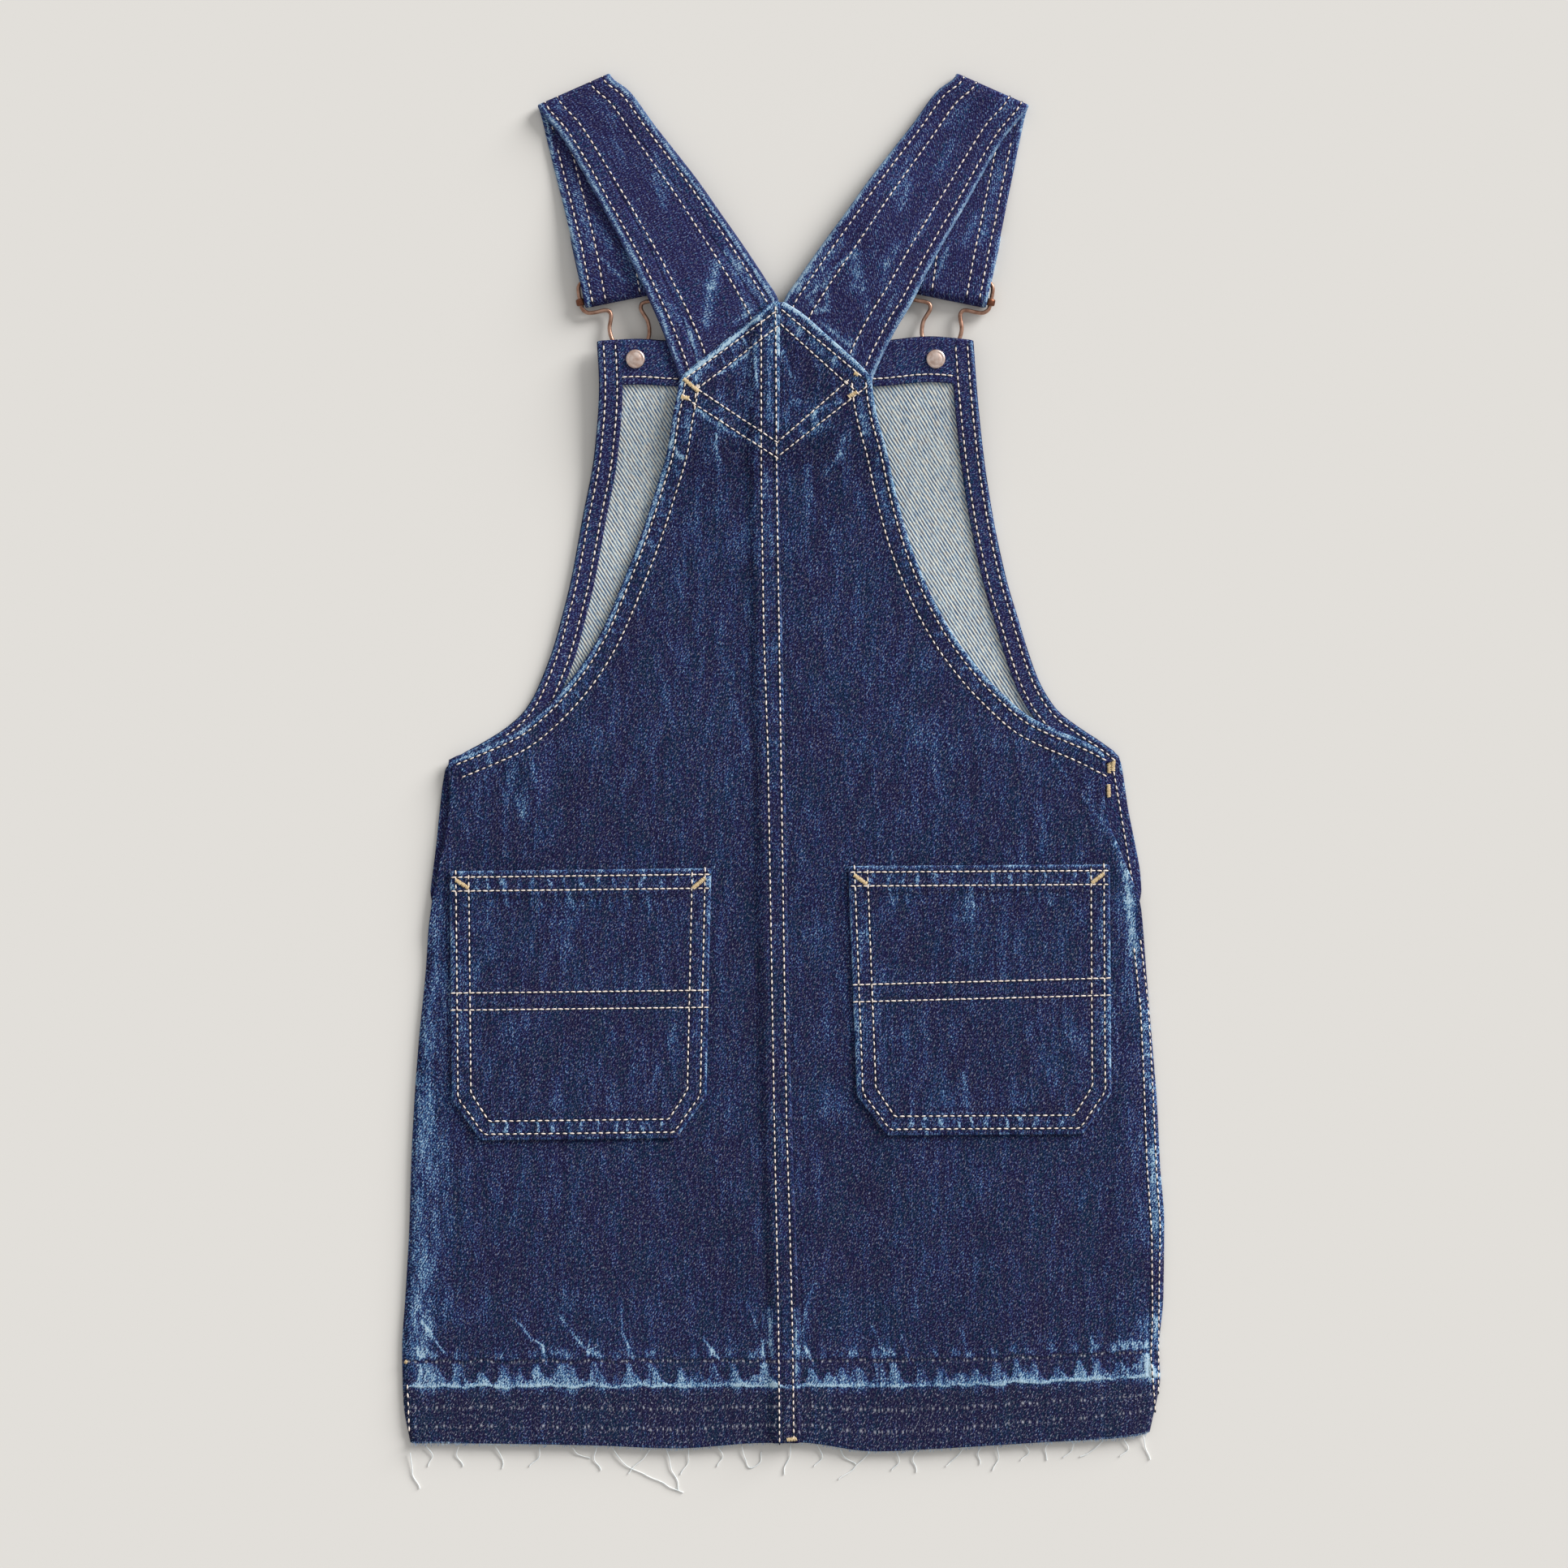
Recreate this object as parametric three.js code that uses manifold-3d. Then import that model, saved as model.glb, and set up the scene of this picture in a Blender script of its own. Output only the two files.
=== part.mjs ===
// A denim pinafore dress with dungaree straps, laid flat on its front with its back uppermost.
// Millimetres, +Z up, +Y towards the straps, +X to the right of someone looking down on the back.
// The origin is under the middle of the laid-out dress, on the surface that it lies on.
// "Left" and "right" are as seen from above.
import * as THREE from 'three';
import { mergeVertices } from 'three/addons/utils/BufferGeometryUtils.js';
import Module from 'manifold-3d';

const wasm = await Module();
wasm.setup();

// Cloth
const CLOTH = 1.4; // one layer of washed denim with its nap
const FACING = 1.2; // a turned edge pressed flat on the inside
const STRAP = 2.0; // a strap, two layers stitched together
const GAP = 0.3; // between pieces that lie on each other
const SLACK = 0.4; // more room where one curved layer lies over another

// Body
const PUFF = 1.7; // how far the back stands off the front in the middle of the skirt
const ROLL = 4; // radius at which the side folds down to the surface
const FRONT_INSET = 3.4; // the front lies inside the rolled side of the back
const LAP = 9; // width of the lapped seam down the centre back
const HEM_LINE = -336; // mean height of the raw hem
const HEM_FADE = 36; // height over which the waves of the raw hem die out

// Bib fastening
const BUTTON_HALF_SPACING = 73.8;
const BIB_CENTRE = 1.2;
const BUTTON_Y = 197.6;
const CAP_RADIUS = 8.3;
const CAP_HEIGHT = 2.6;
const NECK_RADIUS = 2.4;
const RIVET_RADIUS = 4.65;
const RIVET_HEIGHT = 1.5;
const BIB_LIFT_AT_BUTTON = 5.5; // the bib lies on its own buttons
const BIB_LIFT_BETWEEN = 1.6;
const BIB_LIFT_SPREAD = 60;

// Wire buckle
const WIRE_RADIUS = 1;
const BAR_RADIUS = 1.1;
const BAR_UP = 33.4; // from the button to the bar that the strap goes round
const BUCKLE_TILT = THREE.MathUtils.degToRad(11.5);
const BUCKLE_Z = 3.9; // middle of the wire at the button
const BUCKLE_FALL = 0.015; // drop for each millimetre up the buckle
const EYE_RADIUS = 2.3;
const EYE_HEIGHT = 3.4;
const SIDE_WIRE = 20.9; // half the width between the middles of the side wires

const denim = new THREE.MeshStandardMaterial({ color: 0x2b3a66, roughness: 0.92, metalness: 0 });
const denimInside = new THREE.MeshStandardMaterial({ color: 0x9fb0bb, roughness: 0.92, metalness: 0 });
const copper = new THREE.MeshStandardMaterial({ color: 0xa9765c, roughness: 0.4, metalness: 1 });

// Outline of the back: the two side edges and the folded edge of the centre-back lap at each height.
const backSections = [
  { y: 224.8, left: -6.4, lap: -2.2, right: 1.2 },
  { y: 220, left: -11.8, lap: -2.2, right: 9 },
  { y: 210, left: -24, lap: -2.3, right: 20.4 },
  { y: 200, left: -36.2, lap: -2.3, right: 31.6 },
  { y: 192, left: -46, lap: -2.4, right: 40 },
  { y: 187, left: -51, lap: -2.4, right: 43.6 },
  { y: 182, left: -51.8, lap: -2.4, right: 44 },
  { y: 170, left: -54.2, lap: -2.6, right: 46 },
  { y: 153, left: -57, lap: -3, right: 50.8 },
  { y: 135, left: -62.4, lap: -3, right: 54.8 },
  { y: 110, left: -70.6, lap: -2.4, right: 61.6 },
  { y: 88, left: -79.2, lap: -1.8, right: 70 },
  { y: 65, left: -89, lap: -1.2, right: 82 },
  { y: 46, left: -100.2, lap: -0.8, right: 95.8 },
  { y: 30, left: -113.6, lap: -0.4, right: 111.2 },
  { y: 22, left: -122, lap: -0.2, right: 120.8 },
  { y: 15, left: -131, lap: 0, right: 134.8 },
  { y: 9, left: -143.4, lap: 0.1, right: 149 },
  { y: 4, left: -155.4, lap: 0.2, right: 157.6 },
  { y: 0, left: -165, lap: 0.2, right: 158.6 },
  { y: -8, left: -164.9, lap: 0.3, right: 158.4 },
  { y: -18, left: -164.6, lap: 0.5, right: 158.4 },
  { y: -30, left: -165.6, lap: 0.7, right: 160.2 },
  { y: -40, left: -167.4, lap: 0.9, right: 164.4 },
  { y: -50, left: -169.4, lap: 1, right: 168.4 },
  { y: -60, left: -171.4, lap: 1.2, right: 171.4 },
  { y: -72, left: -173.6, lap: 1.4, right: 174.8 },
  { y: -84, left: -175, lap: 1.6, right: 177.6 },
  { y: -104, left: -176.4, lap: 2, right: 179.2 },
  { y: -136, left: -179.6, lap: 2.7, right: 181.8 },
  { y: -168, left: -182, lap: 3.5, right: 184.4 },
  { y: -200, left: -183.6, lap: 4.4, right: 186 },
  { y: -228, left: -184.4, lap: 5.5, right: 188 },
  { y: -264, left: -186.4, lap: 6.8, right: 187.6 },
  { y: -290, left: -188, lap: 7.3, right: 185.4 },
  { y: -304, left: -187.8, lap: 7.5, right: 186 },
  { y: -318, left: -187.2, lap: 7.7, right: 184.4 },
  { y: HEM_LINE, left: -184, lap: 7.8, right: 181 },
];

// Outline of the front above the hips: the bib, its armholes and the sides of the opening below them.
const frontSections = [
  { y: 206, left: -91, right: 93 },
  { y: 184, left: -90, right: 94.6 },
  { y: 152, left: -92.4, right: 98 },
  { y: 120, left: -98.4, right: 103 },
  { y: 88, left: -104.4, right: 110 },
  { y: 72, left: -108.4, right: 114.8 },
  { y: 56, left: -112.8, right: 119.6 },
  { y: 40, left: -118.8, right: 125.4 },
  { y: 32, left: -122.4, right: 129.6 },
  { y: 24, left: -127.6, right: 135.6 },
  { y: 16, left: -136.4, right: 146 },
  { y: 8, left: -149.2, right: 158 },
  { y: 2, left: -160, right: 165 },
  { y: -4, left: -166, right: 166.6 },
  { y: -24, left: -168.8, right: 169.6 },
  { y: -40, left: -170.4, right: 172.8 },
  { y: -56, left: -172.4, right: 175.6 },
  { y: -66, left: -173.6, right: 176.2 },
  { y: -80, left: -174.6, right: 176.8 },
];

// The raw hem hangs unevenly: how far it drops below its mean height across the width.
const hemDrops = [
  { x: -190, drop: -0.4 },
  { x: -157, drop: -0.4 },
  { x: -96, drop: 0.4 },
  { x: -53, drop: 1.9 },
  { x: -10, drop: -0.8 },
  { x: 7, drop: -1 },
  { x: 45, drop: 3.4 },
  { x: 74, drop: 2.2 },
  { x: 131, drop: -1.2 },
  { x: 160, drop: -2.6 },
  { x: 174, drop: -4.2 },
  { x: 190, drop: -8.6 },
];

// Soft folds in the back: a ridge, or a trough where the height is negative, from one point to another.
const folds = [
  { fromX: 128, fromY: 4, toX: 150, toY: -22, width: 7, height: -1.1 },
  { fromX: 150, fromY: -22, toX: 170, toY: -62, width: 7, height: -1.1 },
  { fromX: 140, fromY: -4, toX: 157, toY: -40, width: 8, height: 0.9 },
  { fromX: -128, fromY: 6, toX: -121, toY: -26, width: 7, height: 1 },
  { fromX: -116, fromY: 8, toX: -108, toY: -30, width: 7, height: -0.8 },
  { fromX: -176, fromY: -80, toX: -181, toY: -260, width: 6, height: 0.8 },
  { fromX: 166, fromY: -150, toX: 172, toY: -290, width: 8, height: 0.9 },
  { fromX: -20, fromY: -210, toX: -12, toY: -320, width: 12, height: 0.9 },
  { fromX: 34, fromY: -200, toX: 40, toY: -318, width: 14, height: -0.7 },
  { fromX: -96, fromY: -215, toX: -90, toY: -300, width: 18, height: 0.7 },
  { fromX: 110, fromY: -215, toX: 104, toY: -300, width: 18, height: 0.7 },
  { fromX: -30, fromY: 168, toX: -34, toY: 120, width: 7, height: 0.8 },
  { fromX: 24, fromY: 168, toX: 30, toY: 118, width: 7, height: 0.8 },
];

// Half outline of a patch pocket about its own middle, from the top corner round to the middle of the foot.
const pocketShape = { halfTop: 63.8, halfFoot: 47.8, halfCorner: 62, height: 131.4, corner: 19.4 };
const pockets = [
  { name: 'pocket_left', x: -99.8, top: -54, lean: -0.006, rise: 0.012 },
  { name: 'pocket_right', x: 96.4, top: -51.8, lean: 0.022, rise: 0.006 },
];

// The left strap from the yoke over the shoulder to the buckle: its outer and inner edge and the height
// of its underside at each. The right strap mirrors it.
const strapBack = [
  { outerX: -44.6, outerY: 180.5, innerX: -1.7, innerY: 213, outerZ: 0, innerZ: 0 },
  { outerX: -47.6, outerY: 191, innerX: -1.8, innerY: 224.6, outerZ: 0, innerZ: 4.4 },
  { outerX: -56, outerY: 211, innerX: -9, innerY: 237, outerZ: 8.8, innerZ: 5.2 },
  { outerX: -63.4, outerY: 225.4, innerX: -19.6, innerY: 252.6, outerZ: 9.2, innerZ: 6 },
  { outerX: -70.4, outerY: 240, innerX: -30, innerY: 267, outerZ: 8.6, innerZ: 6.6 },
  { outerX: -80.4, outerY: 258.8, innerX: -42.4, innerY: 284.6, outerZ: 6.6, innerZ: 6 },
  { outerX: -89.8, outerY: 275.6, innerX: -53.4, innerY: 299, outerZ: 4.8, innerZ: 4.4 },
  { outerX: -98.6, outerY: 291.8, innerX: -64.6, innerY: 313.4, outerZ: 3.2, innerZ: 3.2 },
  { outerX: -109, outerY: 308.8, innerX: -76.4, innerY: 329.4, outerZ: 2.8, innerZ: 2.8 },
];
const shoulderFold = { outerX: -119.4, outerY: 321.6, innerX: -85.4, innerY: 336.6, middleZ: 2.5, radius: 1.5 };
const strapFront = [
  { outerX: -115.6, outerY: 306, innerX: -80.4, innerY: 320, outerZ: 0, innerZ: 0 },
  { outerX: -112, outerY: 290, innerX: -76, innerY: 301, outerZ: 0.2, innerZ: 0.2 },
  { outerX: -108.4, outerY: 274.6, innerX: -71.8, innerY: 283.4, outerZ: 1.6, innerZ: 1.6 },
  { outerX: -106, outerY: 263.6, innerX: -69.2, innerY: 271.6, outerZ: 2.8, innerZ: 2.8 },
  { outerX: -103.8, outerY: 254, innerX: -66.8, innerY: 261.6, outerZ: 4, innerZ: 4 },
  { outerX: -101.8, outerY: 244, innerX: -64.8, innerY: 251.6, outerZ: 4.9, innerZ: 4.9 },
  { outerX: -99.8, outerY: 234, innerX: -63.6, innerY: 241.4, outerZ: 4.9, innerZ: 4.9 },
];
// The end of the strap, stitched back under it: how far up from the button each section is, and half its width.
const strapTail = [
  { up: 38, half: 18.2 },
  { up: 46, half: 18.6 },
  { up: 56, half: 18.8 },
  { up: 66, half: 18.8 },
];
const STRAP_HALF_AT_BAR = 18.2;
// The crossing of the straps lies a little to the left, and so do their lower ends.
const yokeLean = [
  { y: 180, shift: -3.6 },
  { y: 192, shift: -3.4 },
  { y: 210, shift: -2.3 },
  { y: 226, shift: -1 },
  { y: 250, shift: -0.5 },
  { y: 275, shift: 0 },
];

// Half of the buckle's bent wire, from the slot round the button's neck up to the middle of the top.
const wireBends = [
  { across: 0, up: -3.8 },
  { across: 2.7, up: -2.7 },
  { across: 3.8, up: 0 },
  { across: 4.5, up: 3.4 },
  { across: 6.8, up: 7 },
  { across: 8.9, up: 10.7 },
  { across: 9.7, up: 14.6 },
  { across: 9.5, up: 18.3 },
  { across: 8.2, up: 21.8 },
  { across: 7.5, up: 24.4 },
  { across: 8.3, up: 26.5 },
  { across: 10.6, up: 27.2 },
  { across: 15, up: 27.1 },
  { across: 18.4, up: 27.6 },
  { across: 20.4, up: 29.4 },
  { across: SIDE_WIRE, up: 31.4 },
  { across: SIDE_WIRE, up: 38.6 },
  { across: 20, up: 41.6 },
  { across: 17.4, up: 42.9 },
  { across: 10, up: 43 },
  { across: 0, up: 43 },
];

/** A smooth step from 0 at `from` to 1 at `to`. */
function ease(from, to, value) {
  const t = THREE.MathUtils.clamp((value - from) / (to - from), 0, 1);
  return t * t * (3 - 2 * t);
}

/** Reads one column of a table at any place along its key column, on a curve that never overshoots. */
function reader(table, key, column) {
  const sorted = [...table].sort((a, b) => a[key] - b[key]);
  const at = sorted.map((row) => row[key]);
  const value = sorted.map((row) => row[column]);
  const step = at.slice(1).map((a, i) => (value[i + 1] - value[i]) / (a - at[i]));
  const slope = at.map((_, i) => {
    if (i === 0) return step[0];
    if (i === at.length - 1) return step[i - 1];
    const before = step[i - 1];
    const after = step[i];
    return before * after <= 0 ? 0 : (2 * before * after) / (before + after);
  });
  return (where) => {
    const w = THREE.MathUtils.clamp(where, at[0], at[at.length - 1]);
    let i = 0;
    while (i < at.length - 2 && w > at[i + 1]) i += 1;
    const span = at[i + 1] - at[i];
    const t = (w - at[i]) / span;
    const u = 1 - t;
    return u * u * (1 + 2 * t) * value[i] + t * t * (1 + 2 * u) * value[i + 1]
      + t * u * u * span * slope[i] - t * t * u * span * slope[i + 1];
  };
}

const backLeft = reader(backSections, 'y', 'left');
const backLap = reader(backSections, 'y', 'lap');
const backRight = reader(backSections, 'y', 'right');
const bibLeft = reader(frontSections, 'y', 'left');
const bibRight = reader(frontSections, 'y', 'right');
const hemDrop = reader(hemDrops, 'x', 'drop');
const lean = reader(yokeLean, 'y', 'shift');

/** The front's side edges: its own outline above the hips, just inside the back's below them. */
function frontLeft(y) {
  return THREE.MathUtils.lerp(bibLeft(y), backLeft(y) + FRONT_INSET, ease(-64, -78, y));
}

function frontRight(y) {
  return THREE.MathUtils.lerp(bibRight(y), backRight(y) - FRONT_INSET, ease(-64, -78, y));
}

/** How far the wavy raw hem moves a point of the skirt up or down. */
function hemShift(x, y) {
  return -hemDrop(x) * ease(HEM_LINE + HEM_FADE, HEM_LINE, y);
}

/** The bib's top edge rises in a low arch over each button. */
function bibArch(x, y) {
  const arch = 1.2 * Math.exp(-(((x + 72) / 14) ** 2)) + 2.4 * Math.exp(-(((x - 72) / 18) ** 2));
  return arch * ease(150, 190, y);
}

/** Underside of the front: flat on the surface, but raised at the bib's top by the buttons under it. */
function frontBase(x, y) {
  const fromButton = Math.abs(x - BIB_CENTRE) - BUTTON_HALF_SPACING;
  const nearButton = Math.exp(-((fromButton / BIB_LIFT_SPREAD) ** 2));
  const lift = THREE.MathUtils.lerp(BIB_LIFT_BETWEEN, BIB_LIFT_AT_BUTTON, nearButton);
  return lift * ease(110, 190, y);
}

/** Height that the soft folds add to the back at a point. */
function foldHeight(x, y) {
  let height = 0;
  for (const fold of folds) {
    const alongX = fold.toX - fold.fromX;
    const alongY = fold.toY - fold.fromY;
    const length2 = alongX ** 2 + alongY ** 2;
    const t = ((x - fold.fromX) * alongX + (y - fold.fromY) * alongY) / length2;
    const inside = THREE.MathUtils.clamp(t, 0, 1);
    const awayX = x - fold.fromX - inside * alongX;
    const awayY = y - fold.fromY - inside * alongY;
    height += fold.height * Math.exp(-(awayX ** 2 + awayY ** 2) / fold.width ** 2);
  }
  return height;
}

/** Underside of a strap's end where it lies on the bib. */
function strapRest(x, y) {
  return frontBase(x, y) + CLOTH + GAP + FACING + GAP;
}

/** Underside of the back: over the front, its turned edges and the strap ends, with the folds. */
function backBase(x, y) {
  const fromSide = Math.max(0, Math.min(x - backLeft(y), backRight(y) - x));
  const inside = 1 - Math.exp(-((fromSide / 34) ** 2));
  const overEdges = (FACING + GAP) * ease(-78, -30, y);
  const overStraps = (STRAP + GAP + SLACK) * ease(136, 166, y);
  const puff = PUFF * inside * (1 - 0.6 * ease(0, 60, y)) * (1 - ease(150, 180, y));
  const atHem = 1 - 0.5 * ease(HEM_LINE + HEM_FADE, HEM_LINE, y);
  const soft = foldHeight(x, y) * inside ** 0.4;
  return frontBase(x, y) + CLOTH + GAP + overEdges + overStraps + Math.max(0, (puff + soft) * atHem);
}

/** A closed wall of even thickness about a grid of points on its middle surface. */
function wall(rows, thickness) {
  const last = rows.length - 1;
  const end = rows[0].length - 1;
  const positions = [];
  const index = [];
  const across = new THREE.Vector3();
  const along = new THREE.Vector3();
  for (const side of [1, -1]) {
    rows.forEach((row, i) => {
      row.forEach((point, j) => {
        across.subVectors(row[Math.min(j + 1, end)], row[Math.max(j - 1, 0)]);
        along.subVectors(rows[Math.min(i + 1, last)][j], rows[Math.max(i - 1, 0)][j]);
        const out = across.cross(along).normalize().multiplyScalar((side * thickness) / 2);
        positions.push(point.x + out.x, point.y + out.y, point.z + out.z);
      });
    });
  }
  const top = (i, j) => i * (end + 1) + j;
  const under = (i, j) => top(i, j) + (last + 1) * (end + 1);
  const quad = (a, b, c, d) => index.push(a, b, c, a, c, d);
  for (let i = 0; i < last; i += 1) {
    for (let j = 0; j < end; j += 1) {
      quad(top(i, j), top(i, j + 1), top(i + 1, j + 1), top(i + 1, j));
      quad(under(i, j), under(i + 1, j), under(i + 1, j + 1), under(i, j + 1));
    }
    quad(top(i, 0), top(i + 1, 0), under(i + 1, 0), under(i, 0));
    quad(top(i + 1, end), top(i, end), under(i, end), under(i + 1, end));
  }
  for (let j = 0; j < end; j += 1) {
    quad(top(0, j + 1), top(0, j), under(0, j), under(0, j + 1));
    quad(top(last, j), top(last, j + 1), under(last, j + 1), under(last, j));
  }
  const geometry = new THREE.BufferGeometry();
  geometry.setAttribute('position', new THREE.Float32BufferAttribute(positions, 3));
  geometry.setIndex(index);
  return geometry;
}

/** Heights of a table's rows from the lowest up, with rows added so that none is further apart than `most`. */
function heightsOf(table, most, lowest = -Infinity) {
  const listed = table.map((row) => row.y).filter((y) => y >= lowest).sort((a, b) => a - b);
  const heights = [listed[0]];
  for (const y of listed.slice(1)) {
    const from = heights[heights.length - 1];
    const parts = Math.ceil((y - from) / most);
    for (let k = 1; k <= parts; k += 1) heights.push(from + ((y - from) * k) / parts);
  }
  return heights;
}

/** Places across half of the back, from its rolled side edge to the seam: close together at both ends. */
function placesFromSide(width, seam) {
  const narrow = Math.min(1, width / 44);
  const close = [0, 0.7, 1.9, 3.8, 8].map((d) => d * narrow);
  const ends = seam.map((d) => width - d * narrow);
  const start = close[close.length - 1];
  const rest = Array.from({ length: 7 }, (_, k) => start + ((ends[0] - start) * (k + 1)) / 8);
  return [...close, ...rest, ...ends];
}

/** Height of the back's middle surface near its side, where it rolls down to the surface below the hips. */
function rolled(height, fromSide, y) {
  const wrapped = ease(-80, -102, y);
  const edge = THREE.MathUtils.lerp(height, CLOTH / 2 + GAP, wrapped);
  const t = THREE.MathUtils.clamp(1 - fromSide / ROLL, 0, 1);
  return THREE.MathUtils.lerp(edge, height, Math.sqrt(1 - t * t));
}

/** One half of the back, from its side edge to the centre-back seam. */
function backHalf(side) {
  const heights = heightsOf(backSections, 17);
  const rows = heights.map((y) => {
    const lap = backLap(y);
    const width = side < 0 ? lap - backLeft(y) : backRight(y) - lap;
    const underlap = side < 0 ? 0 : Math.min(LAP, 0.8 * (lap - backLeft(y)));
    const edge = side < 0 ? backLeft(y) : backRight(y);
    const seam = side < 0 ? [LAP + 7.5, LAP + 1, LAP / 2, 0] : [LAP + 5, LAP, LAP / 2, 0];
    const row = placesFromSide(width + underlap - CLOTH / 2, seam).map((fromSide) => {
      const x = edge - side * (fromSide + CLOTH / 2);
      const overLap = side < 0 ? (CLOTH + GAP + SLACK) * ease(LAP + 7, LAP + 1.4, lap - x) : 0;
      const height = rolled(backBase(x, y) + CLOTH / 2, fromSide, y) + overLap;
      return new THREE.Vector3(x, y + hemShift(x, y), height);
    });
    return side < 0 ? row : row.reverse();
  });
  return wall(rows, CLOTH);
}

/** The front in one piece, skirt and bib, with its outer face down. */
function front() {
  const heights = heightsOf(
    [...frontSections, ...backSections.filter((row) => row.y < -80 && row.y > HEM_LINE), { y: HEM_LINE + 1 }],
    18,
  );
  const columns = 14;
  const rows = heights.map((y) => Array.from({ length: columns + 1 }, (_, j) => {
    const x = THREE.MathUtils.lerp(frontLeft(y), frontRight(y), j / columns);
    return new THREE.Vector3(x, y + hemShift(x, y) + bibArch(x, y), frontBase(x, y) + CLOTH / 2);
  }));
  return wall(rows, CLOTH);
}

/** The facing along the inside of the bib's top, between the two armhole hems. */
function bibFacing() {
  const rows = [184.6, 191, 198, 205.4].map((y) => Array.from({ length: 19 }, (_, j) => {
    const x = THREE.MathUtils.lerp(frontLeft(y) + 10.8, frontRight(y) - 10.8, j / 18);
    return new THREE.Vector3(x, y + bibArch(x, y), frontBase(x, y) + CLOTH + GAP + FACING / 2);
  }));
  return wall(rows, FACING);
}

/** The turned hem along one of the front's armholes, on the inside. */
function armholeHem(side) {
  const edge = side < 0 ? frontLeft : frontRight;
  const width = 10;
  const inset = 0.5;
  const heights = heightsOf(frontSections, 12, 2).filter((y) => y <= 206);
  const rows = heights.map((y) => {
    const slope = (edge(y + 0.5) - edge(y - 0.5)) * side;
    const length = Math.hypot(1, slope);
    return [inset, inset + width / 2, inset + width].map((d) => {
      const x = edge(y) - (side * d) / length;
      const placeY = y + (d * slope) / length;
      const placed = y > 200 ? y : placeY;
      const height = frontBase(x, placed) + CLOTH + GAP + FACING / 2;
      return new THREE.Vector3(x, placed + bibArch(x, placed), height);
    });
  });
  return wall(side < 0 ? rows : rows.map((row) => row.reverse()), FACING);
}

/** A patch pocket with clipped lower corners, lying on the back. */
function pocket({ x: middle, top, lean: sideLean, rise }) {
  const { halfTop, halfFoot, halfCorner, height, corner } = pocketShape;
  const downs = [0, 0.17, 0.34, 0.51, 0.68, 0.852, 0.9, 0.95, 1];
  const rows = downs.reverse().map((t) => {
    const down = t * height;
    const inCorner = Math.max(0, down - (height - corner)) / corner;
    const straight = THREE.MathUtils.lerp(halfTop, halfCorner, Math.min(1, down / (height - corner)));
    const half = THREE.MathUtils.lerp(straight, halfFoot, inCorner);
    return Array.from({ length: 11 }, (_, j) => {
      const across = THREE.MathUtils.lerp(-half, half, j / 10);
      const x = middle + across + sideLean * down;
      const y = top - down + rise * across;
      return new THREE.Vector3(x, y, backBase(x, y) + CLOTH + GAP + 0.1 + CLOTH / 2);
    });
  });
  return wall(rows, CLOTH);
}

/** Rows of a strap where it turns back over an edge, as half a circle about that edge. */
function turn(outer, inner, outward, middleZ, radius, columns) {
  const steps = 6;
  return Array.from({ length: steps + 1 }, (_, k) => {
    const angle = Math.PI / 2 - (Math.PI * k) / steps;
    return Array.from({ length: columns + 1 }, (_unused, j) => {
      const point = new THREE.Vector2().lerpVectors(outer, inner, j / columns);
      point.addScaledVector(outward, radius * Math.cos(angle));
      return new THREE.Vector3(point.x, point.y, middleZ + radius * Math.sin(angle));
    });
  });
}

/** Where a point of the buckle lies, given its distance across and up from the button, on the left side. */
function onBuckle(across, up) {
  const sin = Math.sin(BUCKLE_TILT);
  const cos = Math.cos(BUCKLE_TILT);
  return new THREE.Vector2(across * cos - up * sin - BUTTON_HALF_SPACING, across * sin + up * cos + BUTTON_Y);
}

/** A strap: from under the yoke, over the shoulder fold, down to the buckle's bar, round it and back. */
function strap(side) {
  const columns = 4;
  const section = (row) => Array.from({ length: columns + 1 }, (_, j) => {
    const t = j / columns;
    return new THREE.Vector3(
      THREE.MathUtils.lerp(row.outerX, row.innerX, t),
      THREE.MathUtils.lerp(row.outerY, row.innerY, t),
      THREE.MathUtils.lerp(row.outerZ, row.innerZ, t) + STRAP / 2,
    );
  });
  const onBib = (row) => section(row).map((p) => p.setZ(Math.max(p.z, strapRest(p.x, p.y) + STRAP / 2)));
  const foldOuter = new THREE.Vector2(shoulderFold.outerX, shoulderFold.outerY);
  const foldInner = new THREE.Vector2(shoulderFold.innerX, shoulderFold.innerY);
  const foldLine = new THREE.Vector2().subVectors(foldInner, foldOuter).normalize();
  const shoulderOut = new THREE.Vector2(-foldLine.y, foldLine.x);
  const shoulder = turn(foldOuter, foldInner, shoulderOut, shoulderFold.middleZ, shoulderFold.radius, columns);
  const barRadius = BAR_RADIUS + GAP + STRAP / 2;
  const barOut = new THREE.Vector2(Math.sin(BUCKLE_TILT), -Math.cos(BUCKLE_TILT));
  const barZ = BUCKLE_Z - BUCKLE_FALL * BAR_UP;
  const barOuter = onBuckle(-STRAP_HALF_AT_BAR, BAR_UP);
  const barInner = onBuckle(STRAP_HALF_AT_BAR, BAR_UP);
  const atBar = turn(barOuter, barInner, barOut, barZ, barRadius, columns);
  const tail = strapTail.map(({ up, half }) => Array.from({ length: columns + 1 }, (_, j) => {
    const { x, y } = onBuckle(THREE.MathUtils.lerp(-half, half, j / columns), up);
    return new THREE.Vector3(x, y, STRAP / 2);
  }));
  const toYoke = (p) => new THREE.Vector3(-side * p.x + lean(p.y), p.y, p.z);
  const toBuckle = (p) => new THREE.Vector3(-side * p.x + BIB_CENTRE * ease(320, 250, p.y), p.y, p.z);
  const behind = [...strapBack.map((row) => (row.outerY < 215 ? onBib(row) : section(row))), ...shoulder];
  const before = [...strapFront.map(section), ...atBar, ...tail];
  const placed = [...behind.map((row) => row.map(toYoke)), ...before.map((row) => row.map(toBuckle))];
  return wall(side < 0 ? placed.map((row) => row.reverse()) : placed, STRAP);
}

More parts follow.
